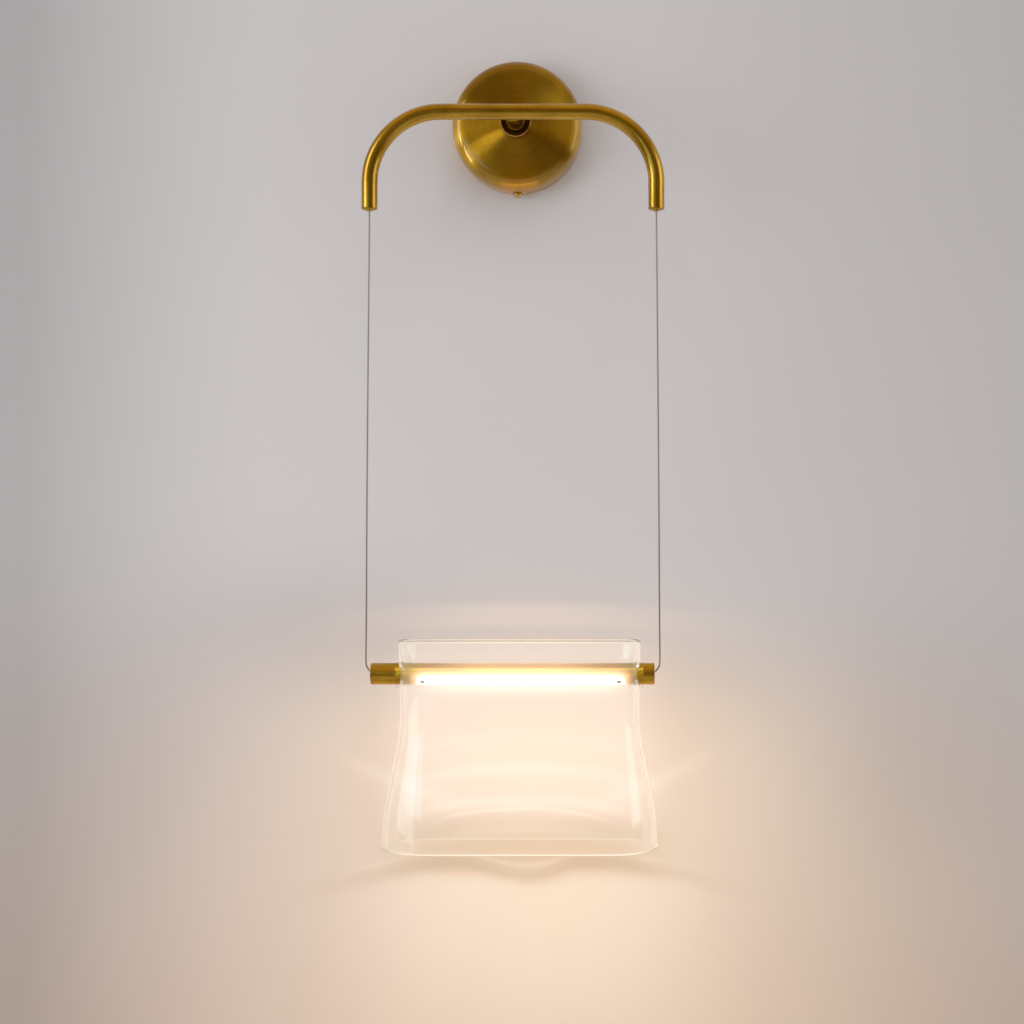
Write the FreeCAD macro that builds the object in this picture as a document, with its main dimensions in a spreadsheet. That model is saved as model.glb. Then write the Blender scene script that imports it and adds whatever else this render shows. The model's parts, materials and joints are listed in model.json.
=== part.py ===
"""A brass wall lamp: a domed rose on the wall, an arched tube on a short stem, and an LED bar with a
clear blown shade, hung from the arch on two thin steel wires.

The origin is on the wall, at the centre of the rose. +X is to the right, +Z is up, and the lamp stands
out from the wall towards -Y. Lengths are in millimetres and angles in degrees.
"""
import FreeCAD, Part
import math
import os
import Sketcher
from FreeCAD import Placement, Rotation, Vector

SIZES = [
    ("plate_gap", 3.5, "of the wall plate's disc inside the outside of the rose"),
    ("plate_thickness", 1.5, "sheet of the wall plate and its tabs"),
    ("cable_hole", 16.0, "hole in the plate for the grommet of the supply cable"),
    ("grommet_bore", 9.0, "bore of the grommet"),
    ("grommet_lip", 1.5, "reach of the grommet's lip over the plate, and its height"),
    ("fixing_spacing", 70.0, "between the two wall fixing holes"),
    ("fixing_hole", 5.0, "wall fixing holes"),
    ("tab_width", 18.0, "bent tabs that the rose is locked to"),
    ("tab_reach", 13.0, "reach of the tabs from the wall"),
    ("lock_depth", 8.0, "height of the lock screws above the wall"),
    ("lock_size", 4.0, "thread of the lock screws"),
    ("lock_length", 8.0, "shank of the lock screws"),
    ("lock_head_diameter", 6.5, "round head of the lock screws"),
    ("lock_head_height", 3.6, "height of that head"),
    ("rose_diameter", 100.0, "outside of the rose"),
    ("rose_wall", 1.2, "sheet of the rose"),
    ("rose_shoulder", 26.5, "height above the wall where side and face of the rose would meet"),
    ("rose_roll", 12.0, "radius that the edge of the rose is rolled to"),
    ("rose_depth", 28.5, "height of the flat land in the middle of the rose"),
    ("land_diameter", 27.0, "flat land that the collar stands on"),
    ("collar_diameter", 24.0, "outside of the collar"),
    ("collar_wall", 1.2, "side wall of the collar"),
    ("collar_base", 1.5, "base of the collar"),
    ("collar_height", 10.5, "height of the collar"),
    ("nipple_diameter", 10.0, "threaded hollow nipple"),
    ("nipple_bore", 7.0, "bore of the nipple"),
    ("nipple_tail", 1.5, "thread that shows past the nut"),
    ("nut_circle", 16.2, "across the corners of the nut"),
    ("nut_thickness", 4.0, "thickness of the nut"),
    ("washer_diameter", 18.0, "washer under the nut"),
    ("washer_thickness", 1.0, "thickness of the washer"),
    ("ferrule_diameter", 14.0, "ferrule at the root of the stem"),
    ("ferrule_floor", 4.5, "threaded floor of the ferrule"),
    ("ferrule_socket", 3.5, "socket of the ferrule that holds the stem"),
    ("stem_diameter", 12.0, "tube of the stem"),
    ("stem_wall", 1.0, "wall of that tube"),
    ("arch_reach", 72.0, "axis of the arch from the wall"),
    ("arch_diameter", 12.0, "tube of the arch"),
    ("arch_wall", 1.0, "wall of that tube"),
    ("leg_out", 1.4, "of the axis of a leg beyond the end of the bar"),
    ("arch_bend", 53.0, "centre line radius of the arch's bends"),
    ("arch_drop", 74.0, "from the arch's axis down to the tips of the plugs in its legs"),
    ("lead_hole", 8.0, "hole in the arch where the stem joins it"),
    ("plug_height", 6.0, "plug in the end of a leg"),
    ("plug_cone", 1.5, "height of the cone that closes the leg below the tube"),
    ("plug_tip", 3.8, "across the cone's flat tip"),
    ("plug_bore", 1.6, "bore of the plug"),
    ("anchor_diameter", 4.4, "crimp that hangs the wire on the plug"),
    ("anchor_height", 6.0, "height of that crimp"),
    ("sleeve_diameter", 3.0, "clear sleeve round the wire below the plug"),
    ("sleeve_mouth", 2.4, "that sleeve at its mouth"),
    ("sleeve_length", 3.4, "from the leg's end to the sleeve's mouth"),
    ("wire_diameter", 1.2, "coated steel wire"),
    ("lead_diameter", 1.6, "insulated leads"),
    ("lead_offset", 1.5, "of each lead from the axis of the stem"),
    ("stem_lead_bend", 8.0, "bend of the leads from the stem into the arch"),
    ("rose_lead_bend", 5.0, "bends of the leads in the rose"),
    ("bar_drop", 418.0, "from the arch's axis down to the bar's axis"),
    ("bar_diameter", 16.0, "tube of the light bar"),
    ("bar_wall", 1.0, "wall of that tube"),
    ("bar_out", 16.0, "of the bar, each side, beyond half the narrowest width of the shade"),
    ("cap_flange", 1.6, "end disc of a cap"),
    ("cap_spigot", 8.0, "part of a cap inside the tube"),
    ("cap_edge", 0.5, "chamfer round a cap"),
    ("insulator_diameter", 6.0, "nylon bush in a cap"),
    ("insulator_length", 10.5, "length of that bush"),
    ("mouth_bore", 4.0, "bore of the bush at the end of the bar"),
    ("mouth_depth", 3.4, "depth of that bore"),
    ("neck_bore", 1.5, "neck of the bush that holds the crimp in"),
    ("neck_length", 1.2, "length of the neck"),
    ("crimp_diameter", 3.0, "crimp on the wire's lower end"),
    ("crimp_length", 4.2, "length of that crimp"),
    ("hook_rise", 1.4, "height above the bar's axis at which the wire meets its end"),
    ("hook_reach", 0.4, "of that place beyond the end of the bar"),
    ("hook_angle", 42.6, "slope of the wire there, from the vertical"),
    ("contact_thickness", 0.5, "contact disc behind the crimp"),
    ("window_land", 8.5, "between the window's right end and the end of the carrier"),
    ("window_width", 10.4, "chord of that window"),
    ("window_shift", 6.0, "of the window's middle to the right of the bar's"),
    ("window_aim", 48.0, "that the window faces below the horizontal"),
    ("carrier_gap", 3.7, "between the carrier and each cap"),
    ("carrier_flat", 1.0, "of the carrier's flat off the bar's axis"),
    ("board_gap", 2.8, "between the LED board and each lens screw"),
    ("board_width", 9.0, "width of the board"),
    ("board_thickness", 1.0, "thickness of the board"),
    ("chip_length", 3.5, "LED chips"),
    ("chip_width", 2.8, "width of a chip"),
    ("chip_height", 0.8, "height of a chip"),
    ("chip_margin", 1.25, "between the last chip and the end of the board"),
    ("board_lead_diameter", 1.0, "leads to the board"),
    ("board_lead_aside", 2.5, "of these leads beside the lens screws"),
    ("lens_inner", 11.4, "inner diameter of the lens"),
    ("lens_flange", 0.8, "of the lens under the edge of the window"),
    ("lens_screw_inset", 4.7, "of the lens screws from the window's ends"),
    ("lens_screw_size", 2.0, "thread of the lens screws"),
    ("lens_screw_head", 4.0, "head of the lens screws"),
    ("lens_head_height", 0.8, "height of that head"),
    ("lens_head_sink", 0.4, "of the head below the crown of the lens"),
    ("lens_screw_grip", 3.5, "of the lens screws in the carrier"),
    ("screw_slot", 0.6, "width of a screwdriver slot"),
    ("bush_wall", 0.8, "wall of the silicone bushes"),
    ("bush_inside", 9.0, "of the bushes inside the shade, from its outer face"),
    ("bush_flange", 21.0, "flange of the bushes"),
    ("flange_thickness", 1.5, "thickness of that flange"),
    ("shade_shift", 5.0, "of the shade's middle to the right of the bar's"),
    ("shade_wall", 3.0, "glass"),
    ("shade_rise", 25.0, "of the shade's top above the bar's axis"),
    ("shade_drop", 129.4, "of the shade's hem below the bar's axis"),
    ("waist_width", 178.6, "narrowest width of the shade"),
    ("hem_width", 206.2, "width of the shade at its hem"),
    ("top_depth", 36.0, "front to back of the shade at its top"),
    ("hem_depth", 72.8, "front to back of the shade at its hem"),
    ("rim_round", 1.0, "round of the fire-polished rims"),
    ("driver_left", 14.0, "of the driver's left side from the middle"),
    ("driver_width", 22.0, "width of the driver"),
    ("driver_length", 44.0, "length of the driver"),
    ("driver_height", 15.0, "height of the driver"),
    ("driver_edge", 1.5, "rounds of the driver's case"),
    ("pad_thickness", 1.0, "adhesive foam under the driver"),
    ("block_right", 5.0, "of the terminal block's right side, left of the middle"),
    ("block_width", 28.0, "width of the terminal block"),
    ("block_length", 12.0, "length of the block"),
    ("block_height", 13.0, "height of the block"),
    ("block_base", 14.0, "of the block's lower side above the middle"),
    ("pole_pitch", 9.0, "between the block's poles"),
    ("pole_bore", 3.2, "wire entries of the block"),
    ("pole_entry", 3.5, "depth of the wire entries"),
    ("pole_well", 3.8, "screw wells of the block"),
    ("well_depth", 5.0, "depth of the screw wells"),
    ("small_screw_size", 2.5, "screws of the block and of the earth tag"),
    ("small_head_height", 1.6, "heads of these screws"),
    ("small_head", 5.0, "diameter of those heads"),
    ("input_loop", 6.0, "of the nearer input lead above the block"),
    ("loop_pitch", 4.0, "between leads that lie side by side"),
    ("output_loop", 8.0, "of the nearer output lead below the driver"),
    ("earth_drop", 14.0, "of the earth screw below the block"),
    ("earth_lead_bend", 3.0, "bends of the earth lead"),
    ("tag_diameter", 8.0, "ring tag of the earth lead"),
    ("tag_thickness", 0.6, "thickness of the tag"),
    ("thread_gap", 0.05, "round a screw or a crimp in its hole"),
    ("fit_gap", 0.1, "round a piece that is fitted into another"),
    ("turn_gap", 0.05, "round a piece that turns or slides on another"),
    ("pivot_gap", 0.4, "where a wire bends between two pieces"),
    ("overrun", 2.0, "of a cutting tool past what it cuts"),
]

# Each chip of the board lies at a whole number of pitches from the middle.
CHIPS_EACH_SIDE = 11
POLES = 3
NUT_SIDES = 6

# The shade's sections from its top to its hem. The height is a share of its whole height, the width a
# share of the way from the waist's width to the hem's, and the depth a share of the way from the
# top's depth to the hem's.
SHADE_SECTION_SHARES = [
    (0.0, 0.072, 0.0),
    (0.162, 0.029, 0.016),
    (0.324, 0.0, 0.065),
    (0.434, 0.043, 0.152),
    (0.563, 0.297, 0.342),
    (0.719, 0.630, 0.609),
    (0.868, 0.906, 0.848),
    (1.0, 1.0, 1.0),
]

# The right suspension wire: its top, across and up from the lower end of the leg, and the bend at its
# foot, across and up from the middle of the bar's end. The left one is its mirror image.
WIRE_TOP = (0.0, -3.7)
WIRE_FOOT = [(4.0, 7.0), (2.7, 3.9)]
ARC_SHARE = 0.45

# The flat crown of a round screw head, as a share of the head's radius.
SCREW_CROWN_SHARE = 0.55

# Two places or radii that differ by less than this are the same.
NEAR = 0.001

# A tube along a path may differ from its section times its length by this share.
VOLUME_SHARE = 0.002

ACROSS = Vector(1, 0, 0)
INTO_WALL = Vector(0, 1, 0)
UP = Vector(0, 0, 1)


class Size:
    """A size as its value and as the expression over the sheet's cells that gives the same value."""

    def __init__(self, value, text):
        self.value = value
        self.text = text

    def __add__(self, other):
        return Size(self.value + value_of(other), f"({self.text} + {text_of(other)})")

    def __sub__(self, other):
        return Size(self.value - value_of(other), f"({self.text} - {text_of(other)})")

    def __mul__(self, other):
        return Size(self.value * value_of(other), f"({self.text} * {text_of(other)})")

    def __truediv__(self, other):
        return Size(self.value / value_of(other), f"({self.text} / {text_of(other)})")

    def __neg__(self):
        return Size(-self.value, f"(-1 * {self.text})")


def value_of(size):
    return size.value if isinstance(size, Size) else size


def text_of(size):
    return size.text if isinstance(size, Size) else f"({size})"


def root(size):
    return Size(math.sqrt(size.value), f"sqrt({size.text})")


class Sizes:
    """The driving sizes, each under its own name."""


doc = FreeCAD.newDocument("WallLamp")
sheet = doc.addObject("Spreadsheet::Sheet", "Sizes")
mm = Sizes()
for row, (alias, number, note) in enumerate(SIZES, start=1):
    sheet.set(f"A{row}", alias)
    sheet.set(f"B{row}", str(number))
    sheet.set(f"C{row}", note)
    sheet.setAlias(f"B{row}", alias)
    setattr(mm, alias, Size(number, f"Sizes.{alias}"))
doc.recompute()

NONE = Size(0.0, "0")
QUARTER_TURN = Size(90.0, "90")
parts = []


def bind(thing, **sizes):
    for name, size in sizes.items():
        thing.setExpression(name, text_of(size))


def place(thing, at=(NONE, NONE, NONE), turn=None):
    """Put a thing at three sizes, turned by (axis, angle) about its own origin."""
    rotation = Rotation(turn[0], value_of(turn[1])) if turn else Rotation()
    thing.Placement = Placement(Vector(*[size.value for size in at]), rotation)
    for letter, size in zip("xyz", at):
        thing.setExpression(f"Placement.Base.{letter}", size.text)
    if turn and isinstance(turn[1], Size):
        thing.setExpression("Placement.Rotation.Angle", turn[1].text)
    return thing


def keep(thing, name):
    """Give a finished piece the name of its node."""
    thing.Label = name
    parts.append(thing)
    return thing


OUTWARD = (ACROSS, 90)
RIGHTWARD = (INTO_WALL, 90)
LEFTWARD = (INTO_WALL, -90)


def new_body(name):
    return doc.addObject("PartDesign::Body", name)


def sketch_on(body, role, name, offset=None):
    """A sketch on one of the body's planes, moved along that plane's normal by offset."""
    sketch = body.newObject("Sketcher::SketchObject", name)
    plane = [feature for feature in body.Origin.OriginFeatures if feature.Role == role][0]
    sketch.AttachmentSupport = [(plane, "")]
    sketch.MapMode = "FlatFace"
    if offset is not None:
        sketch.AttachmentOffset = Placement(Vector(0, 0, offset.value), Rotation())
        sketch.setExpression("AttachmentOffset.Base.z", offset.text)
    return sketch


def fix_point(sketch, part, end, across, up):
    """Hold one point of a sketch at two sizes from the sketch's origin."""
    for kind, size, axis in (("DistanceX", across, -2), ("DistanceY", up, -1)):
        if size.value == 0:
            sketch.addConstraint(Sketcher.Constraint("PointOnObject", part, end, axis))
        elif size.value > 0:
            number = sketch.addConstraint(Sketcher.Constraint(kind, -1, 1, part, end, size.value))
            sketch.setExpression(f"Constraints[{number}]", size.text)
        else:
            number = sketch.addConstraint(Sketcher.Constraint(kind, part, end, -1, 1, -size.value))
            sketch.setExpression(f"Constraints[{number}]", (-size).text)


def fix_radius(sketch, part, radius):
    number = sketch.addConstraint(Sketcher.Constraint("Radius", part, radius.value))
    sketch.setExpression(f"Constraints[{number}]", radius.text)


def outline(sketch, corners):
    """A closed outline of straight lines through corners, each held at its two sizes."""
    points = [Vector(across.value, up.value, 0) for across, up in corners]
    count = len(points)
    for number in range(count):
        sketch.addGeometry(Part.LineSegment(points[number], points[(number + 1) % count]))
    for number, (across, up) in enumerate(corners):
        after = (number + 1) % count
        sketch.addConstraint(Sketcher.Constraint("Coincident", number, 2, after, 1))
        fix_point(sketch, number, 1, across, up)


def circle(sketch, across, up, radius):
    number = sketch.addGeometry(
        Part.Circle(Vector(across.value, up.value, 0), UP, radius.value))
    fix_point(sketch, number, 3, across, up)
    fix_radius(sketch, number, radius)


def slot(sketch, middle, half_length, radius):
    """An obround along the sketch's X axis, with half_length from its middle to its arcs' centres."""
    left, right = middle.value - half_length.value, middle.value + half_length.value
    high = radius.value
    ends = ((right, -math.pi / 2, math.pi / 2), (left, math.pi / 2, math.pi * 3 / 2))
    for centre, start, stop in ends:
        arc = Part.ArcOfCircle(Part.Circle(Vector(centre, 0, 0), UP, high), start, stop)
        sketch.addGeometry(arc)
    sketch.addGeometry(Part.LineSegment(Vector(right, high, 0), Vector(left, high, 0)))
    sketch.addGeometry(Part.LineSegment(Vector(left, -high, 0), Vector(right, -high, 0)))
    for first, first_end, then, then_end in ((0, 2, 2, 1), (2, 2, 1, 1), (1, 2, 3, 1), (3, 2, 0, 1)):
        sketch.addConstraint(Sketcher.Constraint("Tangent", first, first_end, then, then_end))
    sketch.addConstraint(Sketcher.Constraint("Equal", 0, 1))
    fix_point(sketch, 0, 3, middle + half_length, NONE)
    fix_point(sketch, 1, 3, middle - half_length, NONE)
    fix_radius(sketch, 0, radius)


def pad(body, sketch, length, name, both=False):
    feature = body.newObject("PartDesign::Pad", name)
    feature.Profile = sketch
    feature.SideType = "Symmetric" if both else "One side"
    bind(feature, Length=length)
    doc.recompute()
    return feature


def pocket(body, sketch, length, name, both=False, reverse=False):
    """Cut a sketch into the body, and make sure that it took something away."""
    before = body.Shape.Volume
    feature = body.newObject("PartDesign::Pocket", name)
    feature.Profile = sketch
    feature.SideType = "Symmetric" if both else "One side"
    feature.Reversed = reverse
    bind(feature, Length=length)
    doc.recompute()
    if not body.Shape.Volume < before:
        raise RuntimeError(f"{name} cuts nothing")
    return feature


def turned_body(name, corners):
    """A turned piece: an outline of (radius, height) corners revolved about its own Z axis."""
    body = new_body(name)
    sketch = sketch_on(body, "XZ_Plane", f"{name}_profile")
    outline(sketch, corners)
    feature = body.newObject("PartDesign::Revolution", f"{name}_turning")
    feature.Profile = sketch
    feature.ReferenceAxis = (sketch, ["V_Axis"])
    feature.Angle = 360
    doc.recompute()
    return body


def turned(name, corners, at=(NONE, NONE, NONE), turn=None):
    return keep(place(turned_body(name, corners), at, turn), name)


def cylinder(name, radius, height, at=(NONE, NONE, NONE), turn=None):
    thing = doc.addObject("Part::Cylinder", name)
    bind(thing, Radius=radius, Height=height)
    return place(thing, at, turn)


def box(name, length, width, height, at=(NONE, NONE, NONE)):
    thing = doc.addObject("Part::Box", name)
    bind(thing, Length=length, Width=width, Height=height)
    return place(thing, at)


def cut(name, base, *tools):
    """The base with each tool taken out of it."""
    for number, tool in enumerate(tools):
        thing = doc.addObject("Part::Cut", f"{name}_cut_{number}")
        thing.Base = base
        thing.Tool = tool
        base = thing
    return base


def common(name, first, second):
    thing = doc.addObject("Part::Common", name)
    thing.Base = first
    thing.Tool = second
    return thing


def fused(name, *pieces):
    thing = doc.addObject("Part::MultiFuse", name)
    thing.Shapes = list(pieces)
    return thing


def group(name, pieces):
    """Separate solids that share one node."""
    thing = doc.addObject("Part::Compound", f"{name}_group")
    thing.Links = pieces
    return keep(thing, name)


def rounded_path(points, radii=None):
    """A wire of straight runs joined by tangent arcs, each as large as its runs allow if radii is None."""
    edges = []
    start = points[0]
    for number in range(1, len(points) - 1):
        before, corner, after = points[number - 1:number + 2]
        arriving = (before - corner).normalize()
        leaving = (after - corner).normalize()
        half_turn = (math.pi - arriving.getAngle(leaving)) / 2
        if radii is None:
            shorter = min(before.distanceToPoint(corner), corner.distanceToPoint(after))
            radius = ARC_SHARE * shorter / math.tan(half_turn)
            print(f"bend of {radius:.1f} mm at {corner.x:.0f}, {corner.z:.0f}")
        else:
            radius = radii[number - 1]
        tangent = radius * math.tan(half_turn)
        first = corner + arriving * tangent
        last = corner + leaving * tangent
        inward = (arriving + leaving).normalize()
        middle = corner + inward * (radius / math.cos(half_turn) - radius)
        if start.distanceToPoint(first) > NEAR:
            edges.append(Part.LineSegment(start, first).toShape())
        edges.append(Part.Arc(first, middle, last).toShape())
        start = last
    if start.distanceToPoint(points[-1]) > NEAR:
        edges.append(Part.LineSegment(start, points[-1]).toShape())
    return Part.Wire(edges)


def tube_shape(path, radius):
    """A solid round tube along a path, with its volume held against section times length."""
    start = path.Edges[0]
    ring = Part.Wire(Part.Circle(start.valueAt(start.FirstParameter),
                                 start.tangentAt(start.FirstParameter), radius).toShape())
    solid = path.makePipeShell([ring], True, True)
    expected = math.pi * radius ** 2 * path.Length
    if abs(solid.Volume - expected) > expected * VOLUME_SHARE:
        raise RuntimeError(f"a tube holds {solid.Volume:.1f} and not {expected:.1f} cubic millimetres")
    return solid


def shaped(name, shape):
    thing = doc.addObject("Part::Feature", name)
    thing.Shape = shape
    thing.Placement = Placement()
    return keep(thing, name)


def fillet(body, name, radius, test):
    """Round every edge of a body that passes the test."""
    base = body.Tip
    found = [f"Edge{number}" for number, edge in enumerate(base.Shape.Edges, start=1) if test(edge)]
    if not found:
        raise RuntimeError(f"{name} finds no edge")
    feature = body.newObject("PartDesign::Fillet", name)
    feature.Base = (base, found)
    bind(feature, Radius=radius)
    doc.recompute()


def is_ring(edge, radius, height):
    """Whether an edge is a circle about the Z axis of this radius at this height."""
    return (isinstance(edge.Curve, Part.Circle) and abs(edge.Curve.Radius - radius) < NEAR
            and abs(edge.Curve.Center.z - height) < NEAR
            and math.hypot(edge.Curve.Center.x, edge.Curve.Center.y) < NEAR)


def round_ring(body, name, radius, height, round_radius):
    fillet(body, name, round_radius, lambda edge: is_ring(edge, radius.value, height.value))


# Places that several pieces share.
rose_inner = mm.rose_diameter / 2 - mm.rose_wall
tab_face = root((rose_inner - mm.fit_gap * 3) * (rose_inner - mm.fit_gap * 3)
                - mm.tab_width / 2 * mm.tab_width / 2)
bar_length = mm.waist_width + mm.bar_out * 2
bar_half = bar_length / 2
leg = bar_half + mm.leg_out
carrier_length = bar_length - (mm.cap_flange + mm.cap_spigot + mm.carrier_gap) * 2
window_length = carrier_length - (mm.window_shift + mm.window_land) * 2
lens_screw_reach = window_length / 2 - mm.lens_screw_inset
board_length = (lens_screw_reach - mm.lens_screw_size / 2 - mm.board_gap) * 2
chip_pitch = (board_length - mm.chip_length - mm.chip_margin * 2) / (CHIPS_EACH_SIDE * 2)
bar_bore = mm.bar_diameter / 2 - mm.bar_wall
arch_bore = mm.arch_diameter / 2 - mm.arch_wall
stem_start = mm.rose_depth + mm.collar_base + mm.ferrule_floor
crimp_seat = mm.mouth_depth + mm.neck_length
contact_face = crimp_seat + mm.thread_gap + mm.crimp_length + mm.fit_gap

# Places inside the rose, as seen from the front.
driver_foot = mm.plate_thickness + mm.pad_thickness
driver_half = mm.driver_length / 2
driver_middle = mm.driver_left + mm.driver_width / 2
lead_level = driver_foot + mm.driver_height / 2
block_middle = -(mm.block_right + mm.block_width / 2)
block_centre = mm.block_base + mm.block_length / 2
block_screw_across = block_middle + mm.pole_pitch / 2
earth_up = mm.block_base - mm.earth_drop
small_thread = mm.small_screw_size / 2 + mm.thread_gap


def pole_across(number):
    return block_middle + mm.pole_pitch * (number - 1)


def make_wall_plate():
    """A steel disc with two tabs bent outward, which the rose's lock screws thread into."""
    body = new_body("wall_plate")
    disc = sketch_on(body, "XZ_Plane", "plate_disc")
    circle(disc, NONE, NONE, mm.rose_diameter / 2 - mm.plate_gap)
    circle(disc, NONE, NONE, mm.cable_hole / 2)
    pad(body, disc, mm.plate_thickness, "plate_sheet")
    half = mm.tab_width / 2
    inner = tab_face - mm.plate_thickness * 2
    for sign, label in ((1, "upper"), (-1, "lower")):
        tongue = sketch_on(body, "XZ_Plane", f"{label}_tongue")
        outline(tongue, [(-half, inner * sign), (half, inner * sign),
                         (half, tab_face * sign), (-half, tab_face * sign)])
        pad(body, tongue, mm.plate_thickness, f"{label}_root")
        tab = sketch_on(body, "XZ_Plane", f"{label}_tab")
        foot = (tab_face - mm.plate_thickness) * sign
        outline(tab, [(-half, foot), (half, foot), (half, tab_face * sign), (-half, tab_face * sign)])
        pad(body, tab, mm.tab_reach, f"{label}_bend")
    holes = sketch_on(body, "XZ_Plane", "fixing_holes")
    circle(holes, NONE, mm.fixing_spacing / 2, mm.fixing_hole / 2)
    circle(holes, NONE, -(mm.fixing_spacing / 2), mm.fixing_hole / 2)
    pocket(body, holes, mm.plate_thickness + mm.overrun, "fixing_holes_cut", reverse=True)
    threads = sketch_on(body, "XY_Plane", "lock_threads")
    circle(threads, NONE, -mm.lock_depth, mm.lock_size / 2 + mm.thread_gap)
    pocket(body, threads, mm.rose_diameter, "lock_threads_cut", both=True)
    small = sketch_on(body, "XZ_Plane", "small_threads")
    circle(small, block_screw_across, block_centre, small_thread)
    circle(small, pole_across(0), earth_up, small_thread)
    pocket(body, small, mm.plate_thickness + mm.overrun, "small_threads_cut", reverse=True)
    keep(body, "wall_plate")


def make_grommet():
    """A rubber grommet that fills the plate's hole, with a lip in front of the plate."""
    bore = mm.grommet_bore / 2
    waist = mm.cable_hole / 2
    lip = waist + mm.grommet_lip
    front = mm.plate_thickness
    turned("cable_grommet", [(bore, NONE), (waist, NONE), (waist, front), (lip, front),
                             (lip, front + mm.grommet_lip), (bore, front + mm.grommet_lip)],
           turn=OUTWARD)


def make_rose():
    """A spun cup with a straight side, a rolled edge and a slightly coned face with a flat middle."""
    outside = mm.rose_diameter / 2
    hole = mm.nipple_diameter / 2 + mm.fit_gap
    land = mm.land_diameter / 2
    inner_depth = mm.rose_depth - mm.rose_wall
    inner_shoulder = mm.rose_shoulder - mm.rose_wall
    body = turned_body("wall_rose", [
        (outside, NONE), (outside, mm.rose_shoulder), (land, mm.rose_depth), (hole, mm.rose_depth),
        (hole, inner_depth), (land, inner_depth), (rose_inner, inner_shoulder), (rose_inner, NONE)])
    round_ring(body, "rose_edge", outside, mm.rose_shoulder, mm.rose_roll)
    round_ring(body, "rose_inner_edge", rose_inner, inner_shoulder, mm.rose_roll - mm.rose_wall)
    holes = sketch_on(body, "XZ_Plane", "lock_holes")
    circle(holes, NONE, mm.lock_depth, mm.lock_size / 2 + mm.fit_gap)
    pocket(body, holes, mm.rose_diameter + mm.overrun, "lock_holes_cut", both=True)
    keep(place(body, turn=OUTWARD), "wall_rose")


def make_lock_screws():
    """A round-headed screw through the rose's lower side into the plate's tab, and a headless one in the
    upper tab that ends flush in the rose."""
    outside = mm.rose_diameter / 2
    shank, head = mm.lock_size / 2, mm.lock_head_diameter / 2
    crown = head * SCREW_CROWN_SHARE
    slot_depth = mm.lock_head_height / 3
    flush, full = -(mm.fit_gap * 2), mm.lock_head_height
    foot = [(NONE, -mm.lock_length), (shank, -mm.lock_length)]
    headless = foot + [(shank, flush), (NONE, flush)]
    headed = foot + [(shank, NONE), (head, NONE), (head, full / 2), (crown, full), (NONE, full)]
    screws = []
    for label, turn, sign, corners, top in (("upper", (ACROSS, 0), 1, headless, flush),
                                            ("lower", (ACROSS, 180), -1, headed, full)):
        body = turned_body(f"{label}_lock_screw", corners)
        if corners is headed:
            round_ring(body, f"{label}_screw_round", head, full / 2, full / 4)
        groove = sketch_on(body, "YZ_Plane", f"{label}_screw_groove")
        half = mm.screw_slot / 2
        outline(groove, [(-half, top - slot_depth), (half, top - slot_depth),
                         (half, top + mm.overrun), (-half, top + mm.overrun)])
        pocket(body, groove, mm.lock_head_diameter + mm.overrun, f"{label}_screw_groove_cut", both=True)
        screws.append(place(body, (NONE, -mm.lock_depth, outside * sign), turn))
    group("lock_screws", screws)


def make_collar():
    """A thin cup on the rose's land, with the stem standing in it."""
    outside = mm.collar_diameter / 2
    hole = mm.nipple_diameter / 2 + mm.fit_gap
    base, top = mm.rose_depth, mm.rose_depth + mm.collar_height
    inside = outside - mm.collar_wall
    turned("collar", [(hole, base), (outside, base), (outside, top), (inside, top),
                      (inside, base + mm.collar_base), (hole, base + mm.collar_base)], turn=OUTWARD)


def make_nipple_and_nut():
    """A hollow threaded nipple clamps ferrule, collar and rose with a washer and a nut inside the rose."""
    washer_top = mm.rose_depth - mm.rose_wall
    nut_top = washer_top - mm.washer_thickness
    nut_low = nut_top - mm.nut_thickness
    bore, outside = mm.nipple_bore / 2, mm.nipple_diameter / 2
    turned("fixing_nipple", [(bore, nut_low - mm.nipple_tail), (outside, nut_low - mm.nipple_tail),
                             (outside, stem_start), (bore, stem_start)], turn=OUTWARD)
    hole = outside + mm.thread_gap
    turned("nipple_washer", [(hole, nut_top), (mm.washer_diameter / 2, nut_top),
                             (mm.washer_diameter / 2, washer_top), (hole, washer_top)], turn=OUTWARD)
    prism = doc.addObject("Part::Prism", "nut_blank")
    prism.Polygon = NUT_SIDES
    bind(prism, Circumradius=mm.nut_circle / 2, Height=mm.nut_thickness)
    place(prism, (NONE, -nut_low, NONE), OUTWARD)
    bored = cylinder("nut_thread", hole, mm.nut_thickness + mm.overrun * 2,
                     (NONE, -(nut_low - mm.overrun), NONE), OUTWARD)
    keep(cut("nipple_nut", prism, bored), "nipple_nut")


def make_ferrule_and_stem():
    """A turned ferrule on the nipple, and the stem brazed into it, coped to fit the arch's tube."""
    floor = mm.rose_depth + mm.collar_base
    outside = mm.ferrule_diameter / 2
    socket = mm.stem_diameter / 2 + mm.thread_gap
    thread = mm.nipple_diameter / 2 + mm.thread_gap
    top = stem_start + mm.ferrule_socket
    turned("stem_ferrule", [(thread, floor), (outside, floor), (outside, top), (socket, top),
                            (socket, stem_start), (thread, stem_start)], turn=OUTWARD)
    length = mm.arch_reach - stem_start
    blank = cylinder("stem_blank", mm.stem_diameter / 2, length, (NONE, -stem_start, NONE), OUTWARD)
    bore = cylinder("stem_bore", mm.stem_diameter / 2 - mm.stem_wall, length + mm.overrun * 2,
                    (NONE, -(stem_start - mm.overrun), NONE), OUTWARD)
    cope = cylinder("stem_cope", mm.arch_diameter / 2 + mm.thread_gap, mm.stem_diameter * 2,
                    (-mm.stem_diameter, -mm.arch_reach, NONE), RIGHTWARD)
    keep(cut("stem_tube", blank, bore, cope), "stem_tube")


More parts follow.
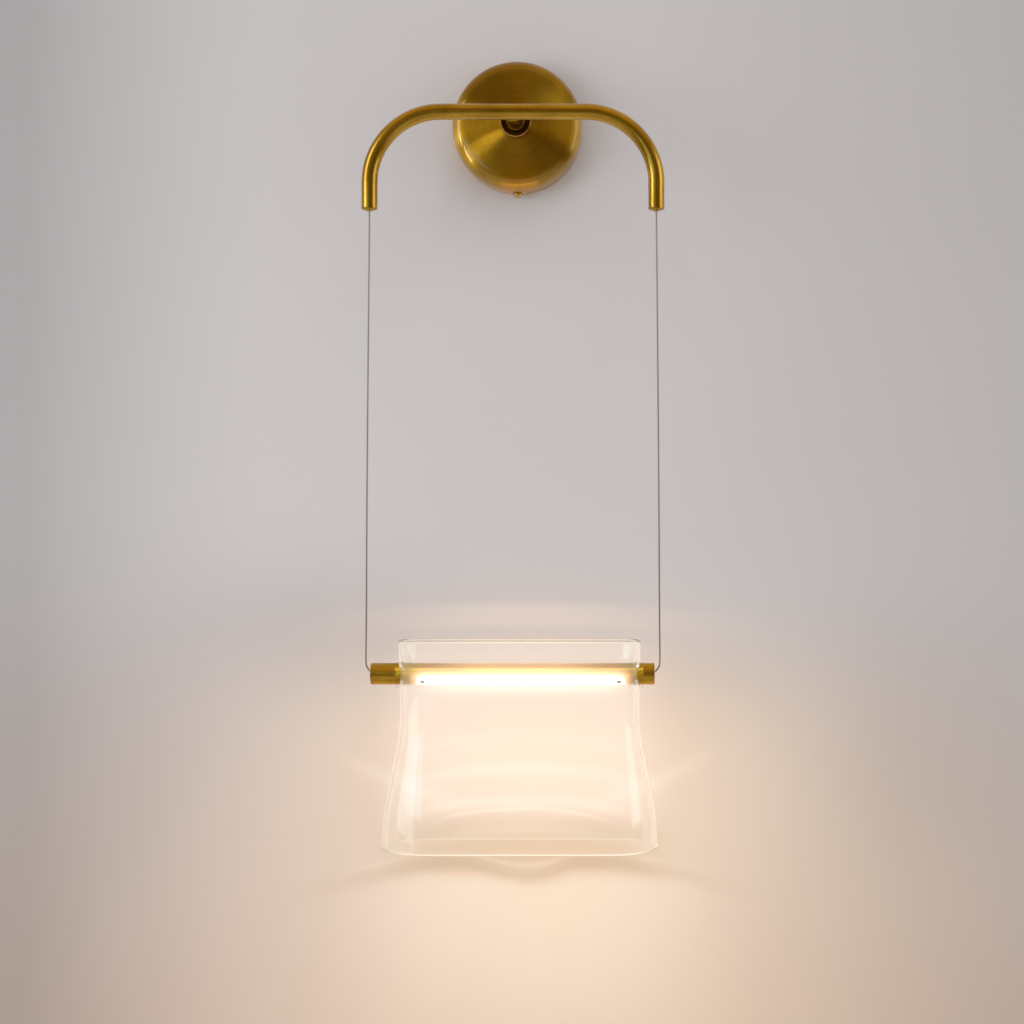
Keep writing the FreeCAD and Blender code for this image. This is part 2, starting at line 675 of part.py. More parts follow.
def make_arch():
    """One tube bent into an upside-down U, with a hole at the back for the leads from the stem."""
    body = new_body("arch_tube")
    path = sketch_on(body, "XZ_Plane", "arch_path")
    bend, drop = mm.arch_bend, mm.arch_drop - mm.plug_cone
    corners = [(-leg, -drop), (-leg, -bend), (-(leg - bend), NONE), (leg - bend, NONE), (leg, -bend),
               (leg, -drop)]
    points = [Vector(across.value, up.value, 0) for across, up in corners]
    for number in (0, 2, 4):
        path.addGeometry(Part.LineSegment(points[number], points[number + 1]))
    turns = ((-1, math.pi / 2, math.pi), (1, 0, math.pi / 2))
    for sign, start, stop in turns:
        centre = Vector(sign * (leg - bend).value, -bend.value, 0)
        path.addGeometry(Part.ArcOfCircle(Part.Circle(centre, UP, bend.value), start, stop))
    for number in range(3):
        fix_point(path, number, 1, *corners[2 * number])
        fix_point(path, number, 2, *corners[2 * number + 1])
    for first, first_end, then, then_end in ((0, 2, 3, 2), (3, 1, 1, 1), (1, 2, 4, 2), (4, 1, 2, 1)):
        path.addConstraint(Sketcher.Constraint("Coincident", first, first_end, then, then_end))
    fix_radius(path, 3, bend)
    fix_radius(path, 4, bend)
    for kind, radius in (("Additive", mm.arch_diameter / 2), ("Subtractive", arch_bore)):
        section = sketch_on(body, "XY_Plane", f"arch_{kind.lower()}_section", -drop)
        circle(section, -leg, NONE, radius)
        doc.recompute()
        pipe = body.newObject(f"PartDesign::{kind}Pipe", f"arch_{kind.lower()}")
        pipe.Profile = section
        pipe.Spine = (path, [])
        doc.recompute()
    entry = sketch_on(body, "XZ_Plane", "lead_entry")
    circle(entry, NONE, NONE, mm.lead_hole / 2)
    pocket(body, entry, mm.arch_diameter, "lead_entry_cut")
    keep(place(body, (NONE, -mm.arch_reach, NONE)), "arch_tube")


def make_leg_ends():
    """In each leg a plug that ends in a cone, the crimp that hangs the wire on it, and below it a
    round-topped clear sleeve."""
    wire = mm.wire_diameter / 2
    top = mm.plug_height
    crimp = mm.anchor_diameter / 2
    bore = mm.plug_bore / 2
    outside, rim = arch_bore - mm.thread_gap, mm.arch_diameter / 2 - mm.thread_gap
    sleeve, mouth = mm.sleeve_diameter / 2, mm.sleeve_mouth / 2
    for label, across in (("left", -leg), ("right", leg)):
        at = (across, -mm.arch_reach, -mm.arch_drop)
        turned(f"end_plug_{label}", [(bore, NONE), (mm.plug_tip / 2, NONE), (rim, mm.plug_cone),
                                     (outside, mm.plug_cone), (outside, top), (bore, top)], at)
        turned(f"wire_anchor_{label}", [(NONE, NONE), (wire, NONE), (wire, top), (crimp, top),
                                        (crimp, top + mm.anchor_height), (NONE, top + mm.anchor_height)], at)
        body = turned_body(f"wire_sleeve_{label}", [
            (NONE, -mm.sleeve_length), (mouth, -mm.sleeve_length), (sleeve, -(mm.pivot_gap + sleeve)),
            (sleeve, -mm.pivot_gap), (NONE, -mm.pivot_gap)])
        round_ring(body, f"{label}_sleeve_round", sleeve, -mm.pivot_gap, sleeve - mm.thread_gap)
        keep(place(body, at), f"wire_sleeve_{label}")


def make_wires():
    """The suspension wires: straight down from the sleeves, then bent in to the ends of the bar."""
    reach = -mm.arch_reach.value
    bend = WIRE_FOOT + [(mm.hook_reach.value, mm.hook_rise.value)]
    for label, sign in (("left", -1), ("right", 1)):
        route = [(leg.value + WIRE_TOP[0], WIRE_TOP[1] - mm.arch_drop.value)]
        route += [(bar_half.value + across, up - mm.bar_drop.value) for across, up in bend]
        path = rounded_path([Vector(sign * across, reach, up) for across, up in route])
        shaped(f"suspension_wire_{label}", tube_shape(path, mm.wire_diameter.value / 2))


def make_wire_ends():
    """The last of each wire, bent level on the bar's axis, with the crimp that holds it in the cap."""
    slope = math.radians(mm.hook_angle.value)
    bend = mm.hook_rise.value / (1 - math.sin(slope))
    reach, axis = -mm.arch_reach.value, -mm.bar_drop.value
    wire = mm.wire_diameter.value / 2
    outer = bar_half.value + mm.hook_reach.value
    level = outer - bend * math.cos(slope)
    crimp_start = (bar_half - crimp_seat - mm.thread_gap).value
    first = math.pi / 2 - slope - mm.pivot_gap.value / bend
    for label, sign in (("left", -1), ("right", 1)):
        places = [Vector(sign * (level + bend * math.sin(angle)), reach, axis + bend * (1 - math.cos(angle)))
                  for angle in (first, first / 2, 0)]
        path = Part.Wire([Part.Arc(*places).toShape(),
                          Part.LineSegment(places[2], Vector(sign * crimp_start, reach, axis)).toShape()])
        tail = tube_shape(path, wire)
        crimp = Part.makeCylinder(mm.crimp_diameter.value / 2, mm.crimp_length.value,
                                  Vector(sign * crimp_start, reach, axis), Vector(-sign, 0, 0))
        shaped(f"wire_end_{label}", tail.fuse(crimp))


def on_bar(shift=NONE):
    return (shift, -mm.arch_reach, -mm.bar_drop)


def make_bar_ends():
    """At each end a brass cap, a nylon bush for the wire's crimp, and the contact that the crimp meets."""
    outside, spigot = mm.bar_diameter / 2, bar_bore - mm.thread_gap
    hole = mm.insulator_diameter / 2
    flange = mm.cap_flange
    bush = hole - mm.thread_gap
    mouth, neck = mm.mouth_bore / 2, mm.neck_bore / 2
    chamber = mm.crimp_diameter / 2 + mm.turn_gap
    for label, turn, end in (("left", RIGHTWARD, -bar_half), ("right", LEFTWARD, bar_half)):
        turned(f"end_cap_{label}", [
            (hole, NONE), (outside - mm.cap_edge, NONE), (outside, mm.cap_edge), (outside, flange),
            (spigot, flange), (spigot, flange + mm.cap_spigot), (hole, flange + mm.cap_spigot)],
            on_bar(end), turn)
        turned(f"cap_insulator_{label}", [
            (mouth, NONE), (bush, NONE), (bush, mm.insulator_length), (chamber, mm.insulator_length),
            (chamber, crimp_seat), (neck, crimp_seat), (neck, mm.mouth_depth), (mouth, mm.mouth_depth)],
            on_bar(end), turn)
        rim = chamber - mm.thread_gap
        turned(f"contact_{label}", [
            (NONE, contact_face), (rim, contact_face), (rim, contact_face + mm.contact_thickness),
            (NONE, contact_face + mm.contact_thickness)], on_bar(end), turn)


# The bar's own frame has the window straight below the axis. It is turned to face forward as well.
AIMED = (-ACROSS, QUARTER_TURN - mm.window_aim)


def make_bar_tube():
    """The brass tube, with an obround window cut in the side that faces down and forward."""
    body = new_body("bar_tube")
    section = sketch_on(body, "YZ_Plane", "bar_section")
    circle(section, NONE, NONE, mm.bar_diameter / 2)
    circle(section, NONE, NONE, bar_bore)
    pad(body, section, bar_length - mm.cap_flange * 2, "bar_pad", both=True)
    window = sketch_on(body, "XY_Plane", "bar_window")
    slot(window, mm.window_shift, (window_length - mm.window_width) / 2, mm.window_width / 2)
    pocket(body, window, mm.bar_diameter, "bar_window_cut")
    keep(place(body, on_bar(), AIMED), "bar_tube")


def window_prism(name, half_length, radius, low, high):
    """An obround block under the bar's axis, from low to high below it."""
    body = new_body(name)
    sketch = sketch_on(body, "XY_Plane", f"{name}_slot", -low)
    slot(sketch, mm.window_shift, half_length, radius)
    pad(body, sketch, low - high, f"{name}_pad")
    return body


def lens_screw_places():
    return (("left", mm.window_shift - lens_screw_reach), ("right", mm.window_shift + lens_screw_reach))


def aimed_cylinders(name, radius, low, high):
    """A pair of cylinders on the lens screws' axes, as one tool in the bar's own frame."""
    pair = [cylinder(f"{name}_{label}", radius, low - high, (across, NONE, -low))
            for label, across in lens_screw_places()]
    return fused(name, *pair)


def make_lens():
    """An opal lens that fills the window flush and has a thin flange behind the window's edge."""
    crown = mm.bar_diameter / 2 - mm.turn_gap
    inner = mm.lens_inner / 2
    flange_out = bar_bore - mm.turn_gap
    long_half = (window_length - mm.window_width) / 2
    filling = mm.window_width / 2 - mm.fit_gap
    low, high = mm.bar_diameter / 2 + mm.overrun, mm.carrier_flat + mm.fit_gap * 3
    length = window_length + mm.overrun * 4
    start = (mm.window_shift - length / 2, NONE, NONE)
    rings = []
    for name, radius in (("lens_crown", crown), ("lens_back", flange_out)):
        solid = cylinder(name, radius, length, start, RIGHTWARD)
        hollow = cylinder(f"{name}_bore", inner, length, start, RIGHTWARD)
        rings.append(cut(name, solid, hollow))
    plug = common("lens_plug", rings[0], window_prism("lens_prism", long_half, filling, low, high))
    flange = common("lens_lip", rings[1],
                    window_prism("lip_prism", long_half, filling + mm.lens_flange, low, high))
    blank = fused("lens_blank", plug, flange)
    head_low = mm.bar_diameter / 2 - mm.lens_head_sink - mm.lens_head_height
    wells = aimed_cylinders("lens_wells", mm.lens_screw_head / 2 + mm.fit_gap, low, head_low)
    holes = aimed_cylinders("lens_holes", mm.lens_screw_size / 2 + mm.fit_gap, low, high)
    keep(place(cut("lens", blank, wells, holes), on_bar(), AIMED), "lens")


def make_lens_screws():
    """Two small slotted screws through the lens into the carrier."""
    head_top = mm.bar_diameter / 2 - mm.lens_head_sink
    head_low = head_top - mm.lens_head_height
    tip = -(mm.lens_screw_grip - mm.carrier_flat)
    pieces = []
    for label, across in lens_screw_places():
        head = cylinder(f"lens_head_{label}", mm.lens_screw_head / 2, mm.lens_head_height,
                        (across, NONE, -head_top))
        shank = cylinder(f"lens_shank_{label}", mm.lens_screw_size / 2, head_low - tip,
                         (across, NONE, -head_low))
        groove = box(f"lens_groove_{label}", mm.lens_screw_head * 2, mm.screw_slot, mm.lens_head_height,
                     (across - mm.lens_screw_head, -(mm.screw_slot / 2),
                      -(head_top + mm.lens_head_height / 2)))
        screw = cut(f"lens_screw_{label}", fused(f"lens_screw_{label}_blank", head, shank), groove)
        pieces.append(place(screw, on_bar(), AIMED))
    group("lens_screws", pieces)


def make_light_source():
    """A D-shaped aluminium carrier, the LED board on its flat, and the row of chips."""
    radius = bar_bore - mm.fit_gap
    half = carrier_length / 2
    rod = cylinder("carrier_rod", radius, carrier_length, (-half, NONE, NONE), RIGHTWARD)
    block = box("carrier_block", carrier_length, mm.bar_diameter, mm.bar_diameter,
                (-half, -(mm.bar_diameter / 2), -mm.carrier_flat))
    threads = aimed_cylinders("carrier_threads", mm.lens_screw_size / 2 + mm.thread_gap,
                              mm.carrier_flat + mm.overrun, -mm.bar_diameter)
    carrier = cut("led_carrier", common("carrier_blank", rod, block), threads)
    keep(place(carrier, on_bar(), AIMED), "led_carrier")
    board_low = mm.carrier_flat + mm.board_thickness
    board = new_body("led_board")
    sketch = sketch_on(board, "XY_Plane", "board_outline", -board_low)
    left, right = mm.window_shift - board_length / 2, mm.window_shift + board_length / 2
    side = mm.board_width / 2
    outline(sketch, [(left, -side), (right, -side), (right, side), (left, side)])
    pad(board, sketch, mm.board_thickness, "board_sheet")
    keep(place(board, on_bar(), AIMED), "led_board")
    chips = []
    for number in range(-CHIPS_EACH_SIDE, CHIPS_EACH_SIDE + 1):
        at = (mm.window_shift + chip_pitch * number - mm.chip_length / 2, -(mm.chip_width / 2),
              -(board_low + mm.chip_height))
        chips.append(box(f"chip_{number + CHIPS_EACH_SIDE}", mm.chip_length, mm.chip_width,
                         mm.chip_height, at))
    row = doc.addObject("Part::Compound", "chip_row")
    row.Links = chips
    keep(place(row, on_bar(), AIMED), "led_chips")


def make_board_leads():
    """A short lead at each end, from the contact past the lens screw to the end of the board."""
    level = -(mm.carrier_flat + mm.board_thickness / 2 + mm.thread_gap).value
    aside = mm.board_lead_aside.value
    bend = mm.board_lead_diameter.value
    start = (bar_half - contact_face - mm.contact_thickness).value
    middle = (start + carrier_length.value / 2) / 2
    for label, sign in (("left", -1), ("right", 1)):
        board_end = mm.window_shift.value + sign * board_length.value / 2
        points = [Vector(sign * start, 0, 0), Vector(sign * (middle + bend), 0, 0),
                  Vector(sign * (middle - bend), aside, level), Vector(board_end, aside, level)]
        thing = shaped(f"board_lead_{label}",
                       tube_shape(rounded_path(points, (bend, bend)), mm.board_lead_diameter.value / 2))
        place(thing, on_bar(), AIMED)


def make_bushes():
    """Clear silicone bushes that slide on the bar and carry the shade by its side holes."""
    bore = mm.bar_diameter / 2 + mm.turn_gap
    outside = bore + mm.bush_wall
    flange = mm.bush_flange / 2
    wall = shade_side + mm.fit_gap * 5
    inner = shade_side - mm.bush_inside
    outer = wall + mm.flange_thickness
    for label, turn in (("left", LEFTWARD), ("right", RIGHTWARD)):
        turned(f"shade_bush_{label}", [(bore, inner), (outside, inner), (outside, wall), (flange, wall),
                                       (flange, outer), (bore, outer)], on_bar(mm.shade_shift), turn)


def shade_section(share, inset):
    """Half the straight run and the end radius of the shade's section at a row of shares."""
    width = mm.waist_width + (mm.hem_width - mm.waist_width) * share[1]
    depth = mm.top_depth + (mm.hem_depth - mm.top_depth) * share[2]
    return (width - depth) / 2, depth / 2 - inset


def shade_height(share):
    return mm.shade_rise - (mm.shade_rise + mm.shade_drop) * share


# The outer half width of the shade at the bar's axis lies between its first and second widths.
shade_side = mm.waist_width / 2 + (mm.hem_width - mm.waist_width) * SHADE_SECTION_SHARES[1][1] / 2


def make_shade():
    """A blown tube of flattened section, open above and below, that flares to its hem and has a hole in
    each narrow side for the bar."""
    body = new_body("glass_shade")
    for kind, inset in (("Additive", NONE), ("Subtractive", mm.shade_wall)):
        sections = []
        for number, share in enumerate(SHADE_SECTION_SHARES):
            sketch = sketch_on(body, "XY_Plane", f"shade_{kind.lower()}_{number}", shade_height(share[0]))
            half_length, radius = shade_section(share, inset)
            slot(sketch, NONE, half_length, radius)
            sections.append(sketch)
        doc.recompute()
        loft = body.newObject(f"PartDesign::{kind}Loft", f"shade_{kind.lower()}")
        loft.Profile = sections[0]
        loft.Sections = sections[1:]
        loft.Ruled = False
        loft.Closed = False
        doc.recompute()
    hole = sketch_on(body, "YZ_Plane", "shade_holes")
    circle(hole, NONE, NONE, mm.bar_diameter / 2 + mm.bush_wall + mm.turn_gap * 3)
    pocket(body, hole, mm.waist_width + mm.hem_width, "shade_holes_cut", both=True)
    ends = (mm.shade_rise.value, -mm.shade_drop.value)
    fillet(body, "rim_rounds", mm.rim_round, lambda edge: any(
        abs(edge.BoundBox.ZMin - height) < NEAR and abs(edge.BoundBox.ZMax - height) < NEAR
        for height in ends))
    keep(place(body, on_bar(mm.shade_shift)), "glass_shade")


def make_driver():
    """The LED driver in its case, stuck to the plate on a foam pad."""
    body = new_body("led_driver")
    left, right = mm.driver_left, mm.driver_left + mm.driver_width
    face = sketch_on(body, "XZ_Plane", "driver_face", driver_foot)
    outline(face, [(left, -driver_half), (right, -driver_half), (right, driver_half), (left, driver_half)])
    pad(body, face, mm.driver_height, "driver_case")
    fillet(body, "driver_rounds", mm.driver_edge,
           lambda edge: edge.BoundBox.YLength > mm.driver_edge.value)
    keep(body, "led_driver")
    foam = box("foam", mm.driver_width, mm.pad_thickness, mm.driver_length,
               (left, -driver_foot, -driver_half))
    keep(foam, "driver_pad")


def make_terminal_block():
    """A three-pole block screwed to the plate, with its clamp screws in their wells."""
    front = mm.plate_thickness + mm.block_height
    blank = box("block_blank", mm.block_width, mm.block_height, mm.block_length,
                (block_middle - mm.block_width / 2, -front, mm.block_base))
    floor = -(front - mm.well_depth)
    top = mm.block_base + mm.block_length
    tools, screws = [], []
    for number in range(POLES):
        across = pole_across(number)
        tools.append(cylinder(f"well_{number}", mm.pole_well / 2, mm.well_depth + mm.overrun,
                              (across, floor, block_centre), OUTWARD))
        tools.append(cylinder(f"upper_entry_{number}", mm.pole_bore / 2, mm.pole_entry + mm.overrun,
                              (across, -lead_level, top - mm.pole_entry)))
        tools.append(cylinder(f"lower_entry_{number}", mm.pole_bore / 2, mm.pole_entry + mm.overrun,
                              (across, -lead_level, mm.block_base - mm.overrun)))
        screws.append(cylinder(f"clamp_screw_{number}", mm.pole_well / 2 - mm.fit_gap, mm.well_depth / 2,
                               (across, floor, block_centre), OUTWARD))
    through = cylinder("block_hole", mm.small_screw_size / 2 + mm.fit_gap, front + mm.overrun,
                       (block_screw_across, NONE, block_centre), OUTWARD)
    keep(cut("terminal_block", blank, *tools, through), "terminal_block")
    group("terminal_screws", screws)


def plate_screw(name, across, up, seat):
    """A screw with a flat round head, through the plate, with the underside of its head at seat."""
    head = cylinder(f"{name}_head", mm.small_head / 2, mm.small_head_height, (across, -seat, up), OUTWARD)
    shank = cylinder(f"{name}_shank", mm.small_screw_size / 2, seat, (across, NONE, up), OUTWARD)
    return fused(f"{name}_body", head, shank)


def make_plate_screws():
    """The screw that holds the block, and the earth screw over the tag of the earth lead."""
    keep(plate_screw("block_screw", block_screw_across, block_centre,
                     mm.plate_thickness + mm.block_height), "block_screw")
    keep(plate_screw("earth_screw", pole_across(0), earth_up,
                     mm.plate_thickness + mm.tag_thickness), "earth_screw")


def make_input_leads():
    """Two leads from the top of the driver over to the middle and right poles of the block."""
    level = -lead_level.value
    top = (mm.block_base + mm.block_length).value
    bend = mm.rose_lead_bend.value
    shapes = []
    for number, pole in enumerate((2, 1)):
        aside = mm.loop_pitch.value * (number - 0.5)
        start = driver_middle.value + aside
        high = top + mm.input_loop.value + mm.loop_pitch.value * number
        end = pole_across(pole).value
        points = [Vector(start, level, driver_half.value), Vector(start, level, high),
                  Vector(end, level, high), Vector(end, level, top - mm.pole_entry.value)]
        shapes.append(tube_shape(rounded_path(points, (bend, bend)), mm.lead_diameter.value / 2))
    shaped("driver_input_leads", Part.makeCompound(shapes))


def make_earth_lead():
    """A lead from the left pole down to a ring tag under the earth screw."""
    across = pole_across(0).value
    level = -lead_level.value
    radius = mm.lead_diameter.value / 2
    foot = -(mm.plate_thickness + mm.thread_gap).value - radius
    low = earth_up.value
    edge = low + mm.tag_diameter.value / 2
    bend = mm.earth_lead_bend.value
    base = mm.block_base.value
    points = [Vector(across, level, base + mm.pole_entry.value), Vector(across, level, edge + bend * 2),
              Vector(across, foot, edge + bend), Vector(across, foot, edge - radius)]
    lead = tube_shape(rounded_path(points, (bend, bend)), radius)
    thickness = mm.tag_thickness.value
    foot_of_tag = Vector(across, -mm.plate_thickness.value, low)
    tag = Part.makeCylinder(mm.tag_diameter.value / 2, thickness, foot_of_tag, -INTO_WALL)
    hole = Part.makeCylinder(small_thread.value, thickness, foot_of_tag, -INTO_WALL)
    shaped("earth_lead", lead.fuse(tag).cut(hole))


def make_inner_leads():
    """Each lead runs from the anchor in a leg along the arch, through the stem and the nipple, and in a
    loop below the nut to the lower end of the driver."""
    reach, level = -mm.arch_reach.value, -lead_level.value
    offset, bend = mm.lead_offset.value, mm.rose_lead_bend.value
    anchor = (mm.plug_height + mm.anchor_height - mm.arch_drop).value
    for number, (label, sign) in enumerate((("right", 1), ("left", -1))):
        aside = mm.loop_pitch.value * (number - 0.5)
        low = -(driver_half + mm.output_loop + mm.loop_pitch * number).value
        end = driver_middle.value + aside
        points = [Vector(sign * leg.value, reach, anchor), Vector(sign * leg.value, reach, 0),
                  Vector(sign * offset, reach, 0), Vector(sign * offset, level, 0),
                  Vector(sign * offset, level, low), Vector(end, level, low),
                  Vector(end, level, -driver_half.value)]
        radii = (mm.arch_bend.value, mm.stem_lead_bend.value, bend, bend, bend)
        shaped(f"inner_lead_{label}", tube_shape(rounded_path(points, radii), mm.lead_diameter.value / 2))


make_wall_plate()
make_grommet()
make_rose()
make_lock_screws()
make_collar()
make_nipple_and_nut()
make_ferrule_and_stem()
make_arch()
make_leg_ends()
make_inner_leads()
make_driver()
make_terminal_block()
make_plate_screws()
make_input_leads()
make_earth_lead()
make_wires()
make_wire_ends()
make_bar_ends()
make_bar_tube()
make_light_source()
make_board_leads()
make_lens()
make_lens_screws()
make_bushes()
make_shade()
doc.recompute()

for thing in doc.Objects:
    if "Invalid" in thing.State or "Error" in thing.State:
        raise RuntimeError(f"{thing.Label} failed: {thing.State}")
for thing in parts:
    if thing.Shape.isNull() or not thing.Shape.isValid():
        raise RuntimeError(f"{thing.Label} has no valid shape")

os.makedirs("parts", exist_ok=True)
for thing in parts:
    thing.Shape.exportStep(f"parts/{thing.Label}.step")
print(f"{len(parts)} sub-parts written")
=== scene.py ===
"""A wall lamp in brushed brass: a rose, an arch on a short stem, two thin wires, and a light bar in a blown
glass shade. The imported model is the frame. The pieces whose surface shows are worked out again as smooth
surfaces, and the others keep their solids and get a finish."""
import json
import math

import bmesh
import bpy
import numpy as np
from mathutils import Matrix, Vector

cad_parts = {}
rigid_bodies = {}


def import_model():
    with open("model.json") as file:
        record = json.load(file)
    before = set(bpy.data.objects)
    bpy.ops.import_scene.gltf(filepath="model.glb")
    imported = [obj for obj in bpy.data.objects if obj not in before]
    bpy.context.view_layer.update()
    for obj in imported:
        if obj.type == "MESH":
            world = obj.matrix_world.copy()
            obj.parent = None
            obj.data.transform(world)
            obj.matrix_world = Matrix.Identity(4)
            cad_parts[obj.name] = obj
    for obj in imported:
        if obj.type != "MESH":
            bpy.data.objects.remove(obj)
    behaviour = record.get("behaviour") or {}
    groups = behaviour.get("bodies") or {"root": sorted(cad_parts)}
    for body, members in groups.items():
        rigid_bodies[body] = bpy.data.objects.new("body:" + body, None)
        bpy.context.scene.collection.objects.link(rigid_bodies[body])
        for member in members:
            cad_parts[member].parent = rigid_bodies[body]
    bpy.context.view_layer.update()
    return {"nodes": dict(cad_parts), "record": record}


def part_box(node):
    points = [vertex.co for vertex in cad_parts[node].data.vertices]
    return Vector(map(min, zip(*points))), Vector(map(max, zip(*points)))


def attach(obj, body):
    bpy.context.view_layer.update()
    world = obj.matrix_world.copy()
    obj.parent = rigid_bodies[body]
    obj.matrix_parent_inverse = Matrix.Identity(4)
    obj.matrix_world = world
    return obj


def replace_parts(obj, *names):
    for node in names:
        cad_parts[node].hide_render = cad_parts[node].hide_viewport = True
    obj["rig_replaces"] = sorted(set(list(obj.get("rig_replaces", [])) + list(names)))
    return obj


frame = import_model()

bl_info = {
    "name": "Wall lamp with glass shade",
    "version": (1, 0, 0),
    "blender": (4, 5, 0),
    "location": "3D View > Sidebar > Wall Lamp",
    "description": "Builds a brass wall lamp whose light bar and glass shade hang on two wires",
    "category": "Add Mesh",
}

MM = 0.001
AXES = {"x": 0, "y": 1, "z": 2}
SIDES = (("left", -1), ("right", 1))

# Where the pieces meet, in the frame: the arch's axis from the wall, and the bar's axis below the arch's.
REACH = -72.0 * MM
BAR_LEVEL = -418.0 * MM
ARCH_SPAN = 106.7 * MM
ARCH_BEND = 53.0 * MM
LEG_END = -74.0 * MM
PLUG_CONE = 1.5 * MM
TUBE_RADIUS = 6.0 * MM
TUBE_WALL = 1.0 * MM
BAR_RADIUS = 8.0 * MM
BAR_HALF = 103.7 * MM
BAR_FACE = 105.3 * MM

# The bar's window: its middle along the bar, half its length and width, and its aim below the horizontal.
WINDOW_MIDDLE = 6.0 * MM
WINDOW_HALF = 77.5 * MM
WINDOW_ROUND = 5.2 * MM
WINDOW_AIM = math.radians(48)

# In millimetres, as the outlines are given: the rose's radius, the height of its flat land, the radius of
# the nipple's hole and the height of the lock screws above the wall.
ROSE_RADIUS = 50.0
ROSE_LAND = 28.5
NIPPLE_HOLE = 5.1
SCREW_HEIGHT = 8.0

# The right wire's route, across and up. The left one is its mirror image.
WIRE_ROUTE = [(0.1067, -0.0777), (0.1084, -0.250), (0.1091, -0.392), (0.1093, -0.404), (0.1093, -0.411),
              (0.1080, -0.4141), (0.1057, -0.4166)]
WIRE_DIAMETER = 1.2 * MM

# The shade's sections from top to hem: height above the bar's axis, half its width and half its depth.
SHADE_SECTIONS = np.array([
    (25.0, 90.29, 18.0), (-0.01, 89.70, 18.29), (-25.03, 89.30, 19.20), (-42.01, 89.89, 20.80),
    (-61.93, 93.40, 24.29), (-86.01, 97.99, 29.21), (-109.02, 101.80, 33.60), (-129.4, 103.10, 36.40)]) * MM
SHADE_MIDDLE = 5.0 * MM
SHADE_WALL = 3.0 * MM
SHADE_HOLE = 8.95 * MM


def colour(name, description, default):
    return bpy.props.FloatVectorProperty(name=name, description=description, subtype="COLOR", size=3, min=0,
                                         max=1, default=default)


class LampProperties(bpy.types.PropertyGroup):
    """Sizes and colours of the lamp that a user may change."""
    brass: colour("Brass", "Colour of the brushed brass", (0.64, 0.385, 0.03))
    brass_deep: colour("Deep brass", "Colour of the brass where its lacquer is darker", (0.38, 0.21, 0.006))
    brass_bright: colour("Polished brass", "Colour of the screws and rims", (0.78, 0.53, 0.19))
    wall_colour: colour("Wall", "Colour of the wall", (0.722, 0.686, 0.682))
    # Glow: the colour of the lamp's light, painted on the wall as emission.
    glow_colour: colour("Glow", "Colour of the lamp's light on the wall", (1.0, 0.58, 0.14))
    lens_light: bpy.props.FloatProperty(
        name="Lens light", description="How brightly the lens shines", min=0, max=100, default=15.0)
    rim_radius: bpy.props.FloatProperty(
        name="Rim radius", description="Round of the fire-polished rims of the shade", unit="LENGTH",
        min=0.0002, max=0.0015, default=1.4 * MM)
    shade_wave: bpy.props.FloatProperty(
        name="Shade wave", description="How far the inside of the blown glass is uneven", unit="LENGTH",
        min=0, max=0.001, default=0.10 * MM)


def look():
    return bpy.context.scene.lamp_properties


# Shapes

def add_mesh(node, how, points, faces, body, material, uv=None):
    """One smooth mesh piece from arrays of points and four-sided faces, on its body and in its node's place,
    named after the node and how it is made. Points that meet are merged, which closes seams and poles."""
    name = f"{node}_{how}"
    mesh = bpy.data.meshes.new(name)
    mesh.from_pydata(points.reshape(-1, 3), [], faces.reshape(-1, 4))
    mesh.polygons.foreach_set("use_smooth", np.ones(len(mesh.polygons), dtype=bool))
    if uv is not None:
        corners = np.empty(len(mesh.loops), dtype=np.int32)
        mesh.loops.foreach_get("vertex_index", corners)
        layer = mesh.uv_layers.new(name="Along")
        layer.data.foreach_set("uv", uv.reshape(-1, 2)[corners].ravel())
    work = bmesh.new()
    work.from_mesh(mesh)
    bmesh.ops.remove_doubles(work, verts=work.verts, dist=1e-7)
    bmesh.ops.recalc_face_normals(work, faces=work.faces)
    work.to_mesh(mesh)
    work.free()
    piece = bpy.data.objects.new(name, mesh)
    bpy.context.scene.collection.objects.link(piece)
    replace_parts(piece, node)
    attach(piece, body)
    mesh.materials.clear()
    mesh.materials.append(material)
    return piece


def grid_faces(rows, columns, close_rows=False, close_columns=False):
    """The faces of a grid of points with so many rows and columns, joined round where it is closed."""
    index = np.arange(rows * columns).reshape(rows, columns)
    if close_rows:
        index = np.vstack([index, index[:1]])
    if close_columns:
        index = np.hstack([index, index[:, :1]])
    return np.stack([index[:-1, :-1], index[:-1, 1:], index[1:, 1:], index[1:, :-1]], axis=-1)


def rounded(corners, rounds, steps=6):
    """A closed outline in metres from corners and rounds in millimetres. Each corner becomes a curve that
    starts and ends its round's length away: (1 - t) squared of the start, 2 t (1 - t) of the corner and t
    squared of the end."""
    corners = np.array(corners) * MM
    reach = np.broadcast_to(np.array(rounds) * MM, len(corners))[:, None]
    back = np.roll(corners, 1, axis=0) - corners
    ahead = np.roll(corners, -1, axis=0) - corners
    start = corners + back * reach / np.linalg.norm(back, axis=1, keepdims=True)
    end = corners + ahead * reach / np.linalg.norm(ahead, axis=1, keepdims=True)
    t = np.linspace(0, 1, steps)[None, :, None]
    curve = start[:, None] * (1 - t) ** 2 + corners[:, None] * 2 * t * (1 - t) + end[:, None] * t ** 2
    return curve.reshape(-1, 2)


def finer(outline, step):
    """A closed outline with points added along its runs so that none is longer than about step."""
    ends = np.roll(outline, -1, axis=0)
    counts = np.maximum(1, np.ceil(np.linalg.norm(ends - outline, axis=1) / step)).astype(int)
    owner = np.repeat(np.arange(len(outline)), counts)
    place = np.arange(counts.sum()) - np.repeat(np.cumsum(counts) - counts, counts)
    share = (place / counts[owner])[:, None]
    return outline[owner] * (1 - share) + ends[owner] * share


